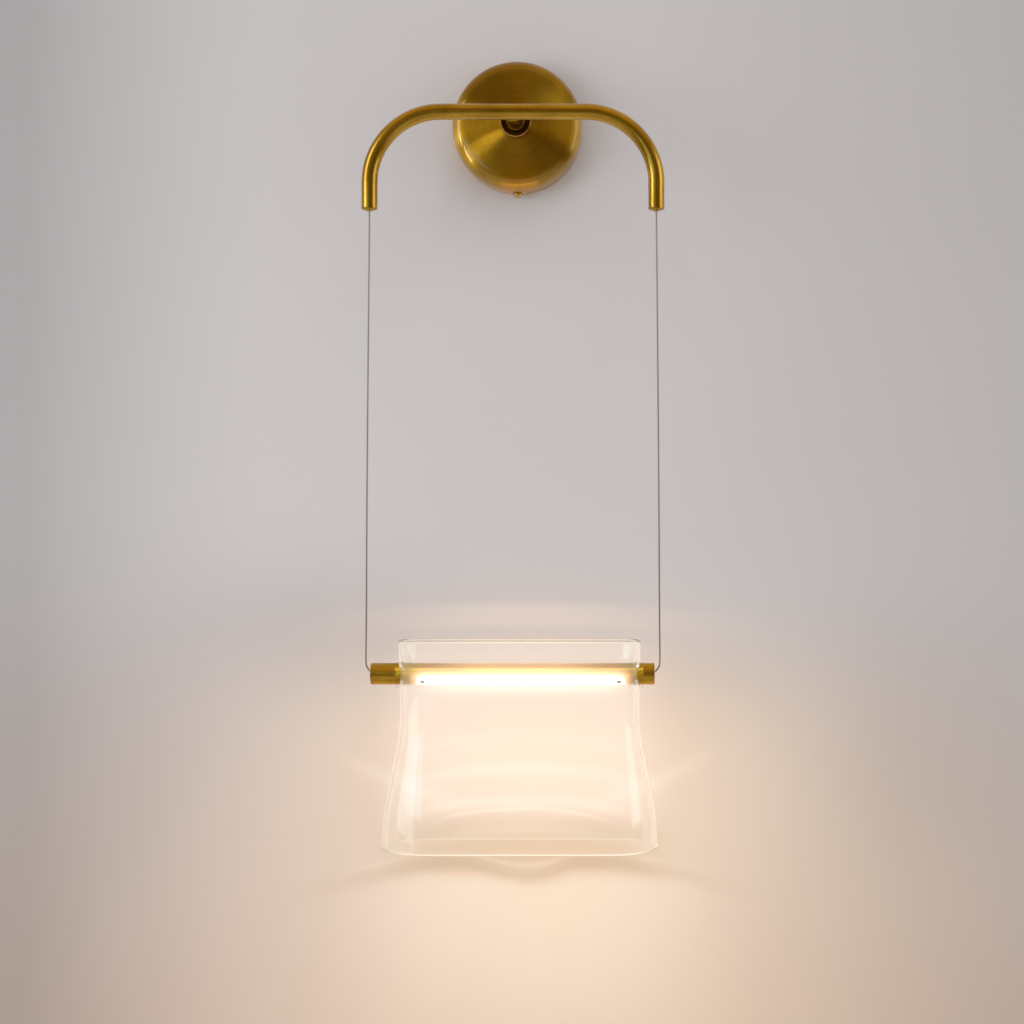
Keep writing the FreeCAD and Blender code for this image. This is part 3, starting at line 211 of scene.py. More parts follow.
def turned_points(outline, axis, at, turns=128):
    """A closed outline of (radius, height) turned about an axis of the frame through a point. Angle a puts a
    point at radius times cosine a on the next axis and radius times sine a on the one after, and the height
    counts along the axis's own direction, which a minus sign reverses."""
    sign = -1 if axis.startswith("-") else 1
    along = AXES[axis[-1]]
    first, second = (along + 1) % 3, (along + 2) % 3
    angle = np.linspace(0, 2 * math.pi, turns, endpoint=False)
    points = np.empty((len(outline), turns, 3))
    points[..., first] = outline[:, :1] * np.cos(angle)
    points[..., second] = outline[:, :1] * np.sin(angle)
    points[..., along] = outline[:, 1:] * sign
    return points + np.asarray(at, dtype=float)


def turned_piece(node, how, outline, axis, at, body, material, turns=128):
    points = turned_points(outline, axis, at, turns)
    return add_mesh(node, how, points, grid_faces(len(outline), turns, True, True), body, material)


def arch_line(share):
    """Centre and sideways direction of the arch at a share of its length from the left leg's end to the
    right one's: straight up, a quarter circle, straight across, a quarter circle and straight down."""
    leg_run = -ARCH_BEND - LEG_END - PLUG_CONE
    turn_run = ARCH_BEND * math.pi / 2
    top_run = 2 * (ARCH_SPAN - ARCH_BEND)
    run = share * (2 * leg_run + 2 * turn_run + top_run)
    middle = leg_run + turn_run + top_run / 2
    from_middle = np.abs(run - middle)
    side = np.sign(run - middle)
    angle = np.clip((from_middle - top_run / 2) / ARCH_BEND, 0, math.pi / 2)
    flat = np.minimum(from_middle, top_run / 2)
    down = np.maximum(from_middle - top_run / 2 - turn_run, 0)
    across = side * (flat + ARCH_BEND * np.sin(angle))
    up = -ARCH_BEND * (1 - np.cos(angle)) - down
    outward = np.stack([side * np.sin(angle), np.zeros_like(run), np.cos(angle)], axis=-1)
    centre = np.stack([across, np.full_like(run, REACH), up], axis=-1)
    return centre, outward


def closed_spline(knots, values, at):
    """A smooth curve through values at knots: cubic runs whose slopes and curvatures agree, and whose
    curvature is nil at both ends."""
    gap = np.diff(knots)
    rise = np.diff(values, axis=0) / gap[:, None]
    count = len(knots)
    system = np.eye(count)
    right = np.zeros_like(values)
    inner = np.arange(1, count - 1)
    system[inner, inner - 1] = gap[:-1]
    system[inner, inner] = 2 * (gap[:-1] + gap[1:])
    system[inner, inner + 1] = gap[1:]
    right[inner] = 6 * (rise[1:] - rise[:-1])
    bend = np.linalg.solve(system, right)
    run = np.clip(np.searchsorted(knots, at, side="right") - 1, 0, count - 2)
    width = gap[run][:, None]
    ahead = (at - knots[run])[:, None]
    behind = width - ahead
    return (bend[run] * behind ** 3 / (6 * width) + bend[run + 1] * ahead ** 3 / (6 * width)
            + (values[run] / width - bend[run] * width / 6) * behind
            + (values[run + 1] / width - bend[run + 1] * width / 6) * ahead)


# Materials

class Nodes:
    """The nodes of a material or a world, added one after another and joined by name."""

    def __init__(self, name, store="materials", output="OutputMaterial"):
        self.owner = getattr(bpy.data, store).new(name)
        self.owner.use_nodes = True
        self.tree = self.owner.node_tree
        self.tree.nodes.clear()
        self.output = self.add(output)

    def add(self, kind, settings=None, **sockets):
        """One node with its settings. A socket's value is a number, a colour or another node's output."""
        node = self.tree.nodes.new(f"ShaderNode{kind}")
        for name, value in (settings or {}).items():
            setattr(node, name, value)
        for name, value in sockets.items():
            self.feed(node.inputs[name.replace("_", " ")], value)
        return node

    def feed(self, socket, value):
        if isinstance(value, bpy.types.NodeSocket):
            self.tree.links.new(value, socket)
        elif isinstance(value, (tuple, list)) and socket.type == "RGBA":
            socket.default_value = (*value, 1)[:4]
        else:
            socket.default_value = value

    def place(self, scale=(1, 1, 1), move=(0, 0, 0), turn=(0, 0, 0), uv=None):
        """Coordinates of the piece in metres, or those of its own map, stretched by scale."""
        if uv:
            source = self.add("UVMap", {"uv_map": uv}).outputs["UV"]
        else:
            source = self.add("TexCoord").outputs["Object"]
        node = self.add("Mapping", Vector=source, Location=move, Rotation=turn, Scale=scale)
        return node.outputs["Vector"]

    def noise(self, where, scale, detail=3.0, roughness=0.55):
        return self.add("TexNoise", Vector=where, Scale=scale, Detail=detail,
                        Roughness=roughness).outputs["Fac"]

    def mix(self, share, first, second):
        node = self.tree.nodes.new("ShaderNodeMix")
        node.data_type = "RGBA"
        self.feed(node.inputs["Factor"], share)
        self.feed(node.inputs[6], first)
        self.feed(node.inputs[7], second)
        return node.outputs[2]

    def spread(self, value, low, high, start=0.0, stop=1.0, smooth=False):
        """A value from low to high taken to one from start to stop."""
        node = self.tree.nodes.new("ShaderNodeMapRange")
        node.clamp = True
        if smooth:
            node.interpolation_type = "SMOOTHSTEP"
        for number, number_value in enumerate((value, low, high, start, stop)):
            self.feed(node.inputs[number], number_value)
        return node.outputs["Result"]

    def maths(self, operation, *values):
        node = self.tree.nodes.new("ShaderNodeMath")
        node.operation = operation
        for number, value in enumerate(values):
            self.feed(node.inputs[number], value)
        return node.outputs["Value"]

    def times(self, *values):
        product = values[0]
        for value in values[1:]:
            product = self.maths("MULTIPLY", product, value)
        return product

    def total(self, *values):
        result = values[0]
        for value in values[1:]:
            result = self.maths("ADD", result, value)
        return result

    def from_middle(self, value, middle):
        """How far a value is from a middle, to either side."""
        return self.maths("ABSOLUTE", self.total(value, -middle))

    def both(self, share, first, second):
        """Two shaders mixed by a share of the second."""
        mixed = self.add("MixShader", Fac=share)
        self.feed(mixed.inputs[1], first.outputs[0])
        self.feed(mixed.inputs[2], second.outputs[0])
        return mixed.outputs["Shader"]

    def bump(self, height, strength, distance):
        return self.add("Bump", Height=height, Strength=strength, Distance=distance).outputs["Normal"]

    def finish(self, shader):
        self.feed(self.output.inputs["Surface"], shader)
        return self.owner


def brass_shader(made, marks, gloss, height, *tones, **more):
    """The surface of a brass whose marks turn its gloss from one value to another and raise its height. Each
    tone is a noise, its low and high value and its share in the colour."""
    settings = look()
    tone = made.total(*(made.times(made.spread(noise, low, high), share)
                        for noise, low, high, share in tones))
    return made.add("BsdfPrincipled", Metallic=1.0, Roughness=made.spread(marks, 0.3, 0.7, *gloss),
                    Base_Color=made.mix(tone, tuple(settings.brass_deep), tuple(settings.brass)),
                    Normal=made.bump(marks, height, 0.02 * MM), **more)


def brass(lines, name="brushed_brass", rough=0.24, streak=0.5, painted_emission=None):
    """Brushed brass: fine lines stretched along the brushing and slow clouds in the lacquer. Lines is the
    scale of the line noise on the piece's coordinates, and the last argument, when given, paints the lamp's
    light on the brass as a warm glow."""
    made = Nodes(name)
    fine = made.noise(made.place(scale=lines), 1.0, 4.0, 0.7)
    coarse = made.noise(made.place(scale=tuple(value / 3.7 for value in lines)), 1.0, 2.0)
    cloud = made.noise(made.place(), 38.0, 3.0)
    marks = made.total(made.times(fine, 0.65), made.times(coarse, 0.35))
    shader = brass_shader(made, marks, (rough * 1.25, rough * 0.8), 0.35, (marks, 0.36, 0.66, streak),
                          (cloud, 0.35, 0.65, 1 - streak), Coat_Weight=0.06, Coat_Roughness=0.16)
    # Painted glow: where given, a warm emission on the brass stands in for the lamp's light falling on it.
    if painted_emission:
        made.feed(shader.inputs["Emission Color"], (1.0, 0.57, 0.37))
        made.feed(shader.inputs["Emission Strength"], painted_emission(made))
    return made.finish(shader.outputs["BSDF"])


def metal_material(name, colour, deep, rough, scale):
    """A plain metal with clouds of tone, faint scratches and uneven gloss."""
    made = Nodes(name)
    cloud = made.noise(made.place(), scale, 4.0)
    scratch = made.noise(made.place(scale=(3.0, 1.0, 0.25), turn=(0.3, 0.5, 0.2)), scale * 9, 2.0)
    shader = made.add("BsdfPrincipled", Base_Color=made.mix(made.spread(cloud, 0.3, 0.7), deep, colour),
                      Metallic=1.0, Roughness=made.spread(scratch, 0.3, 0.7, rough * 0.8, rough * 1.3),
                      Normal=made.bump(scratch, 0.2, 0.01 * MM))
    return made.finish(shader.outputs["BSDF"])


def plain_material(name, colour, deep, rough, scale, height=0.02, sheen=0.0, stripe=None):
    """Moulded plastic, rubber or foam: a slow drift of colour and a fine grain. A stripe is a second colour
    in slanted bands."""
    made = Nodes(name)
    drift = made.noise(made.place(), scale, 2.0)
    grain = made.noise(made.place(), scale * 22, 3.0)
    colours = made.mix(made.spread(drift, 0.35, 0.65), deep, colour)
    if stripe:
        band = made.add("TexWave", {"wave_type": "BANDS", "bands_direction": "DIAGONAL"},
                        Vector=made.place(), Scale=60.0, Distortion=0.0)
        colours = made.mix(made.spread(band.outputs["Fac"], 0.62, 0.66), colours, stripe)
    shader = made.add("BsdfPrincipled", Base_Color=colours, Sheen_Weight=sheen,
                      Roughness=made.spread(grain, 0.3, 0.7, rough * 0.85, min(1.0, rough * 1.15)),
                      Normal=made.bump(grain, 0.3, height * MM))
    return made.finish(shader.outputs["BSDF"])


def clear_material(name, tint, rough, ior, scale, height, cloud=0.0, light=None):
    """Glass or clear plastic with real walls. Its gloss is a little uneven and its surface gently waved, and
    it lets the lamps' light through to what is inside. Light, when given, is a painted glow: an emission that
    stands in for the lamp's own light that the glass scatters."""
    made = Nodes(name)
    slow = made.noise(made.place(), scale, 2.0)
    fine = made.noise(made.place(scale=(1.0, 1.0, 0.35)), scale * 7, 2.0)
    waves = made.total(slow, made.times(fine, 0.12))
    colour = made.mix(made.spread(fine, 0.3, 0.7, 0.0, cloud), tint, (0.9, 0.9, 0.88))
    glass = made.add("BsdfPrincipled", Base_Color=colour, Transmission_Weight=1.0, IOR=ior,
                     Roughness=made.spread(fine, 0.35, 0.75, rough * 0.6, rough * 1.4),
                     Normal=made.bump(waves, 0.5, height * MM))
    # Painted glow: the glass's emission stands in for the lamp's light that it scatters.
    if light:
        made.feed(glass.inputs["Emission Color"], (1.0, 0.86, 0.66))
        made.feed(glass.inputs["Emission Strength"], light(made))
    through = made.add("BsdfTransparent", Color=tint)
    ray = made.add("LightPath")
    passing = made.maths("MAXIMUM", ray.outputs["Is Shadow Ray"], ray.outputs["Is Diffuse Ray"])
    return made.finish(made.both(passing, glass, through))


def lens_material(strength):
    """The opal lens alight, a little brighter over each chip and warmer towards its ends."""
    made = Nodes("opal_lens")
    where = made.place()
    along = made.add("SeparateXYZ", Vector=where).outputs["X"]
    chip_pitch = 6.0 * MM
    wave = made.maths("COSINE", made.times(made.total(along, -WINDOW_MIDDLE), 2 * math.pi / chip_pitch))
    ends = made.spread(made.from_middle(along, WINDOW_MIDDLE), 64 * MM, 73 * MM)
    milk = made.noise(where, 900.0, 2.0)
    light = made.times(made.spread(wave, -1.0, 1.0, strength * 0.86, strength),
                       made.spread(ends, 0.0, 1.0, 1.0, 0.2))
    shader = made.add("BsdfPrincipled", Base_Color=made.mix(milk, (0.95, 0.93, 0.88), (0.99, 0.97, 0.93)),
                      Roughness=made.spread(milk, 0.3, 0.7, 0.24, 0.36), Subsurface_Weight=0.2,
                      Emission_Color=made.mix(ends, (1.0, 0.83, 0.6), (1.0, 0.72, 0.4)),
                      Emission_Strength=light)
    shader.inputs["Subsurface Radius"].default_value = (1.2 * MM, 1.0 * MM, 0.8 * MM)
    return made.finish(shader.outputs["BSDF"])


def rope_material(name):
    """Stranded steel under a clear coat: slanted strands at a sixth of a turn, darker in their grooves."""
    made = Nodes(name)
    where = made.place(scale=(1.0, 1.0, 0.42))
    strand = made.add("TexWave", {"wave_type": "BANDS", "bands_direction": "DIAGONAL"}, Vector=where,
                      Scale=900.0, Distortion=0.6, Detail=1.0).outputs["Fac"]
    grey = made.noise(made.place(), 60.0, 2.0)
    colour = made.mix(made.spread(strand, 0.1, 0.9), (0.24, 0.19, 0.155), (0.55, 0.47, 0.40))
    shader = made.add("BsdfPrincipled", Base_Color=colour, Metallic=0.85,
                      Roughness=made.spread(grey, 0.3, 0.7, 0.32, 0.46), Coat_Weight=0.35,
                      Coat_Roughness=0.2, Normal=made.bump(strand, 0.6, 0.06 * MM))
    return made.finish(shader.outputs["BSDF"])


def wall_material():
    """A painted wall with fine roller texture. Painted shade darkens its colour towards the top and both
    sides, and a painted warm tint lies towards its foot. The lamp's light is painted on it as emission: a
    wide warm pool below the bar, paler where it comes through the glass and below the hem. From behind the
    wall isn't there."""
    made = Nodes("painted_wall")
    settings = look()
    where = made.place()
    roller = made.noise(where, 420.0, 4.0)
    drift = made.noise(where, 2.6, 2.0)
    axes = made.add("SeparateXYZ", Vector=where)
    times, total = made.times, made.total
    across = total(axes.outputs["X"], -SHADE_MIDDLE)
    up = axes.outputs["Z"]

    def between(value, first, second, third, fourth):
        """Nought up to first, one from second to third and nought from fourth on."""
        return times(made.spread(value, first, second, 0.0, 1.0, True),
                     made.spread(value, third, fourth, 1.0, 0.0, True))

    def bell(value, width, power=2.0):
        """One over e to the power of the value's share of the width, itself to a power."""
        share = made.maths("DIVIDE", made.maths("ABSOLUTE", value), width)
        return made.maths("EXPONENT", times(made.maths("POWER", share, power), -1.0))

    def painted_pool(middle, height, width, above, below):
        """A soft patch of painted light, or of painted shade where its tint is negative, with its own reach
        above and below its middle.
        """
        high = total(up, -height)
        return times(bell(total(across, -middle), width), bell(made.maths("MAXIMUM", high, 0.0), above),
                     bell(made.maths("MINIMUM", high, 0.0), below))

    # Painted shade: the room's light falls off towards the top and both sides, and this falloff is painted
    # into the wall's colour.
    left = made.maths("POWER", made.spread(across, -0.39, -0.20, 1.0, 0.0), 1.5)
    shade = total(made.spread(up, -0.30, 0.08, 0.0, 0.07), times(left, 0.27),
                  made.spread(across, 0.10, 0.38, 0.0, 0.140), made.spread(drift, 0.3, 0.7, 0.02, 0.0))
    paint = tuple(settings.wall_colour)
    # Painted light: the paint turns warmer towards the foot, where the lamp's warm light takes over from the
    # room's.
    foot = tuple(value * share for value, share in zip(paint, (0.965, 0.840, 0.740)))
    colour = made.mix(shade, made.mix(made.spread(up, -0.70, -0.35, 1.0, 0.0), paint, foot), (0.0, 0.0, 0.0))
    plaster = made.add("BsdfDiffuse", Color=colour, Roughness=0.6,
                       Normal=made.bump(roller, 0.12, 0.1 * MM))
    # Below the bar the lamp's light is painted on the wall as emission in wide pools, and the glass's
    # caustics are painted too: the glass gathers it into arcs, into wings that rise to both sides, and into a
    # bright line and a dark one, a painted shadow, that follow the hem's shadow in a wave.
    square = times(across, across)
    bend = times(total(made.noise(where, 11.0, 2.0), -0.5), 0.012)
    aside = made.maths("ABSOLUTE", across)
    inner = made.maths("MINIMUM", aside, 0.048)
    beyond = made.maths("MAXIMUM", total(aside, -0.06), 0.0)
    wave = total(times(made.maths("COSINE", times(inner, 66.0)), 0.004), times(beyond, beyond, 1.6))
    level = total(up, bend)
    hem = total(level, wave)
    wide = bell(across, 0.13, 4.0)
    arcs = made.maths("POWER", made.spread(made.maths("SINE", times(total(level, times(square, 1.6)), 250.0)),
                                           -1.0, 1.0), 3.0)
    sides = between(aside, 0.04, 0.08, 0.10, 0.16)
    ends = between(aside, -1.0, -0.5, 0.085, 0.15)
    lights = (
        (tuple(settings.glow_colour), total(times(painted_pool(0.010, -0.460, 0.170, 0.058, 0.09), 0.165),
                                            times(painted_pool(0.015, -0.50, 0.21, 0.10, 0.25), 0.150))),
        ((1.0, 0.745, 0.42), times(painted_pool(0.045, -0.62, 0.30, 0.17, 0.6), 0.205)),
        ((0.75, 0.56, 0.80), times(between(level, -0.552, -0.528, -0.44, -0.38), bell(across, 0.106, 10.0),
                                   0.10)),
        ((0.92, 0.93, 0.86), times(between(hem, -0.80, -0.60, -0.589, -0.577), wide, 0.095)),
        ((1.0, 0.90, 0.75), times(bell(total(hem, 0.5705), 0.0022), ends,
                                  made.spread(made.noise(where, 22.0, 1.0), 0.35, 0.65, 0.02, 0.13))),
        ((1.0, 0.93, 0.85), times(arcs, bell(across, 0.085, 4.0), between(level, -0.575, -0.54, -0.50, -0.46),
                                  0.09)),
        ((1.0, 0.88, 0.75), times(bell(total(level, times(square, -2.1), 0.530), 0.0065), sides, 0.085)),
        ((1.0, 0.90, 0.80), times(bell(total(level, times(square, 2.5), 0.528), 0.0016),
                                  bell(across, 0.065, 6.0), 0.12)),
        ((1.0, 0.62, 0.38), times(bell(total(up, times(square, 0.31), 0.378), 0.0095, 5.0),
                                  bell(across, 0.115), 0.10)),
        ((1.0, 0.90, 0.70), times(bell(total(up, 0.431), 0.0075), bell(across, 0.078, 6.0), 0.45)),
        # A negative tint paints shade: a dark band over the hem, the hem's painted shadow line and dim
        # patches beside and below the bar.
        ((-1.0, -1.0, -1.0), total(
            times(bell(total(level, 0.555), 0.024, 3.0), bell(across, 0.10, 6.0), 0.145),
            times(bell(total(hem, 0.580), 0.007), bell(across, 0.14, 4.0), 0.08),
            times(painted_pool(-0.165, -0.385, 0.09, 0.05, 0.05), 0.06),
            times(painted_pool(-0.27, -0.48, 0.12, 0.12, 0.14), 0.035),
            times(painted_pool(0.29, -0.50, 0.08, 0.12, 0.12), 0.035))))
    # The painted light and painted shade are summed into one emission colour.
    painted_light = (0.0, 0.0, 0.0)
    for tint, strength in lights:
        node = made.add("VectorMath", {"operation": "MULTIPLY_ADD"})
        for number, value in enumerate((tint, strength, painted_light)):
            made.feed(node.inputs[number], value)
        painted_light = node.outputs["Vector"]
    ray = made.add("LightPath")
    seen = made.maths("MAXIMUM", ray.outputs["Is Camera Ray"],
                      made.maths("MAXIMUM", ray.outputs["Is Glossy Ray"],
                                 ray.outputs["Is Transmission Ray"]))
    glow = made.add("Emission", Color=painted_light, Strength=seen)
    front = made.add("AddShader")
    made.feed(front.inputs[0], plaster.outputs["BSDF"])
    made.feed(front.inputs[1], glow.outputs["Emission"])
    return made.finish(made.both(made.add("NewGeometry").outputs["Backfacing"], front,
                                 made.add("BsdfTransparent")))


def floor_material():
    made = Nodes("pale_floor")
    cloud = made.noise(made.place(), 6.0, 3.0)
    shader = made.add("BsdfDiffuse", Color=made.mix(cloud, (0.66, 0.63, 0.61), (0.71, 0.68, 0.66)),
                      Roughness=0.5)
    return made.finish(shader.outputs["BSDF"])


def polished():
    settings = look()
    bright = tuple(settings.brass_bright)
    return metal_material("polished_brass", bright, tuple(value * 0.72 for value in bright), 0.16, 300.0)


# Operators

class LAMP_OT_stage(bpy.types.Operator):
    """Sets the camera, the wall, the floor, the soft boxes and the room's light"""
    bl_idname = "lamp.stage"
    bl_label = "Stage"

    def execute(self, context):
        scene = context.scene
        lens = bpy.data.cameras.new("camera")
        lens.lens, lens.sensor_width, lens.shift_x = 67.5, 36.0, -0.1104
        camera = bpy.data.objects.new("camera", lens)
        camera.location = (83.4 * MM, -1500.0 * MM, -297.7 * MM)
        camera.rotation_euler = (math.pi / 2, 0, 0)
        scene.collection.objects.link(camera)
        scene.camera = camera
        side, face, foot, head, front = 2.2, -0.0001, -1.3, 1.7, -3.2
        self.sheet(scene, "wall", [(-side, face, foot), (side, face, foot), (side, face, head),
                                   (-side, face, head)], wall_material())
        self.sheet(scene, "floor", [(-side, front, foot), (side, front, foot), (side, face, foot),
                                    (-side, face, foot)], floor_material())
        # The last two values say whether a box lights and whether it is mirrored. The shade's step keeps
        # the left strip off the glass, and the rose's step gives both rose boxes to the rose alone.
        target = np.array((0.0, -0.05, -0.25))
        for name, place, size, power, tint, lights, mirrored in (
                ("left_box", (-1.25, -0.80, -0.08), (1.35, 0.9), 9.0, (0.93, 0.97, 1.0), True, False),
                ("left_strip", (-1.33, -0.85, 0.34), (0.75, 0.9), 6.6, (1.0, 0.97, 0.93), False, True),
                ("near_strip", (-0.92, -1.18, -0.05), (1.5, 0.42), 2.2, (0.62, 0.81, 1.0), False, True),
                ("right_box", (1.35, -0.50, 0.10), (0.8, 1.1), 4.0, (1.0, 0.985, 0.97), True, True),
                ("rose_strip", (-0.95, -0.75, -0.24), (0.25, 0.5), 6.5, (1.0, 0.94, 0.86), False, True),
                ("rose_glow", (0.0, -0.14, -0.45), (0.36, 0.10), 0.38, (1.0, 0.54, 0.17), False, True),
                ("top_box", (0.1, -1.3, 1.35), (1.4, 0.7), 5.0, (1.0, 0.99, 0.98), True, False)):
            light = bpy.data.lights.new(name, "AREA")
            light.shape, light.size, light.size_y = "RECTANGLE", size[0], size[1]
            light.energy, light.color = power, tint
            box = bpy.data.objects.new(name, light)
            box.location = place
            box.visible_diffuse = lights
            box.visible_glossy = mirrored
            aim = target - np.array(place)
            box.rotation_euler = (math.pi / 2 - math.atan2(-aim[2], math.hypot(aim[0], aim[1])), 0,
                                  math.atan2(-aim[0], aim[1]))
            scene.collection.objects.link(box)
        self.room(scene)
        scene.view_settings.view_transform = "Standard"
        return {"FINISHED"}

    @staticmethod
    def sheet(scene, name, corners, material):
        mesh = bpy.data.meshes.new(name)
        mesh.from_pydata(corners, [], [(0, 1, 2, 3)])
        thing = bpy.data.objects.new(name, mesh)
        scene.collection.objects.link(thing)
        mesh.materials.append(material)

    @staticmethod
    def room(scene):
        """An even room. Where brass and glass mirror its front half, it is dim and warm, a little brighter
        above and below than ahead."""
        made = Nodes("room", "worlds", "OutputWorld")
        ray = made.add("LightPath")
        where = made.add("SeparateXYZ", Vector=made.add("TexCoord").outputs["Generated"])
        strength = made.spread(made.maths("ABSOLUTE", where.outputs["Z"]), 0.30, 0.95, 0.14, 0.60, True)
        mirrored = made.maths("MAXIMUM", 0.0, made.maths("SUBTRACT", ray.outputs["Is Glossy Ray"],
                                                         ray.outputs["Is Transmission Ray"]))
        ahead = made.maths("LESS_THAN", where.outputs["Y"], 0.0)
        even = made.add("Background", Color=(0.93, 0.92, 0.93), Strength=0.69)
        dim = made.add("Background", Color=(1.0, 0.69, 0.21), Strength=strength)
        scene.world = made.finish(made.both(made.times(mirrored, ahead), even, dim))


class LAMP_OT_wires(bpy.types.Operator):
    """Hangs the two suspension wires from the arch to the ends of the bar"""
    bl_idname = "lamp.wires"
    bl_label = "Suspension wires"

    def execute(self, context):
        material = rope_material("steel_wire")
        for label, sign in SIDES:
            name = f"suspension_wire_{label}_rope"
            curve = bpy.data.curves.new(name, "CURVE")
            curve.dimensions = "3D"
            curve.bevel_depth = WIRE_DIAMETER / 2
            curve.bevel_resolution = 4
            curve.use_fill_caps = True
            spline = curve.splines.new("NURBS")
            spline.points.add(len(WIRE_ROUTE) - 1)
            route = np.array([(sign * across, REACH, up, 1.0) for across, up in WIRE_ROUTE])
            spline.points.foreach_set("co", route.ravel())
            spline.order_u = 3
            spline.use_endpoint_u = True
            spline.resolution_u = 12
            rope = bpy.data.objects.new(name, curve)
            context.scene.collection.objects.link(rope)
            curve.materials.append(material)
            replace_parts(rope, f"suspension_wire_{label}")
            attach(rope, f"{label}_wire")
        return {"FINISHED"}


class LAMP_OT_rose(bpy.types.Operator):
    """Spins the wall rose with its rolled edge, and the collar on its land"""
    bl_idname = "lamp.rose"
    bl_label = "Rose and collar"

    def execute(self, context):
        turns, sheet, land, shoulder = 192, 1.2, 13.5, 26.5
        outline = finer(rounded(
            [(ROSE_RADIUS, 0.05), (ROSE_RADIUS, shoulder), (land, ROSE_LAND), (NIPPLE_HOLE, ROSE_LAND),
             (NIPPLE_HOLE, ROSE_LAND - sheet), (land, ROSE_LAND - sheet),
             (ROSE_RADIUS - sheet, shoulder - sheet), (ROSE_RADIUS - sheet, 0.05)],
            [0.3, 11.16, 2.5, 0.1, 0.1, 2.0, 10.0, 0.3], steps=14), 1.6 * MM)
        points = turned_points(outline, "-y", (0, 0, 0), turns)
        angle = np.linspace(0, 1, turns, endpoint=False)[None, :]
        reach = np.linspace(0, 1, len(outline), endpoint=False)[:, None]
        uv = np.stack(np.broadcast_arrays(angle, reach), axis=-1)
        rose = add_mesh("wall_rose", "spun", points, grid_faces(len(outline), turns, True, True),
                        "wall_bracket", self.spun(), uv)
        # The rose strip and the glow of the lamp below are mirrored by the rose alone.
        lit = bpy.data.collections.new("lit_by_rose_boxes")
        lit.objects.link(rose)
        for name in ("rose_strip", "rose_glow"):
            box = bpy.data.objects[name]
            box.light_linking.receiver_collection = lit
            box.visible_camera = box.visible_transmission = False
        rim, bore, mouth, base = 12.0, 10.8, 39.0, 30.0
        cup = rounded([(NIPPLE_HOLE, ROSE_LAND), (rim, ROSE_LAND), (rim, mouth), (bore, mouth),
                       (bore, base), (NIPPLE_HOLE, base)], [0.1, 0.3, 0.5, 0.5, 0.8, 0.1])
        collar = turned_piece("collar", "cup", finer(cup, 2 * MM), "-y", (0, 0, 0), "wall_bracket",
                              brass((900.0, 60.0, 900.0), "collar_brass", 0.22))
        collar.data.materials.append(polished())
        # The bore of the cup gets a dark copy of the brass: painted shade where the recess lies in shadow.
        collar.data.materials.append(metal_material("collar_inside", (0.16, 0.085, 0.012),
                                                    (0.08, 0.04, 0.006), 0.4, 200.0))
        for face in collar.data.polygons:
            across, along, up = face.center
            if along < (0.7 - mouth) * MM:
                face.material_index = 1
            elif math.hypot(across, up) < (bore + 0.15) * MM:
                face.material_index = 2
        return {"FINISHED"}

    @staticmethod
    def spun():
        """Spun brass: fine rings round the middle, from a wave of the distance to the axis, that turn the
        gloss into two bright wedges."""
        made = Nodes("spun_brass")
        flat = made.place(scale=(1.0, 0.0, 1.0))
        radius = made.add("VectorMath", {"operation": "LENGTH"}, Vector=flat).outputs["Value"]
        ring_place = made.add("CombineXYZ", X=radius).outputs["Vector"]
        rings = made.noise(ring_place, 1500.0, 3.0, 0.7)
        broad = made.noise(ring_place, 260.0, 2.0, 0.5)
        cloud = made.noise(made.place(), 26.0, 3.0)
        marks = made.total(made.times(rings, 0.6), made.times(broad, 0.4))
        tangent = made.add("Tangent", {"direction_type": "UV_MAP", "uv_map": "Along"})
        shader = brass_shader(made, marks, (0.44, 0.36), 0.25, (marks, 0.36, 0.64, 0.45),
                              (cloud, 0.35, 0.65, 0.55), Anisotropic=0.95, Anisotropic_Rotation=0.25,
                              Tangent=tangent.outputs["Tangent"], Coat_Weight=1.0, Coat_Roughness=0.07)
        return made.finish(shader.outputs["BSDF"])


class LAMP_OT_lock_screws(bpy.types.Operator):
    """Turns the two screws that lock the rose: a headless one above and a round-headed one below"""
    bl_idname = "lamp.lock_screws"
    bl_label = "Lock screws"

    def execute(self, context):
        headed = np.array([(0.0, -8.0), (2.0, -8.0), (2.0, 0.0), (3.25, 0.0), (3.25, 1.5), (2.9, 2.5),
                           (2.1, 3.3), (1.0, 3.6), (0.0, 3.6)]) * MM
        headless = np.array([(0.0, -8.0), (2.0, -8.0), (2.0, -0.6), (1.7, -0.3), (0.7, -0.3), (0.7, -1.5),
                             (0.0, -1.5)]) * MM
        turns, points, faces, used = 64, [], [], 0
        for outline, axis, sign in ((headless, "z", 1), (headed, "-z", -1)):
            at = (0, -SCREW_HEIGHT * MM, ROSE_RADIUS * MM * sign)
            points.append(turned_points(outline, axis, at, turns).reshape(-1, 3))
            faces.append(grid_faces(len(outline), turns, False, True).reshape(-1, 4) + used)
            used += len(outline) * turns
        points, faces = np.concatenate(points), np.concatenate(faces)
        add_mesh("lock_screws", "turned", points, faces, "wall_bracket", polished())
        return {"FINISHED"}


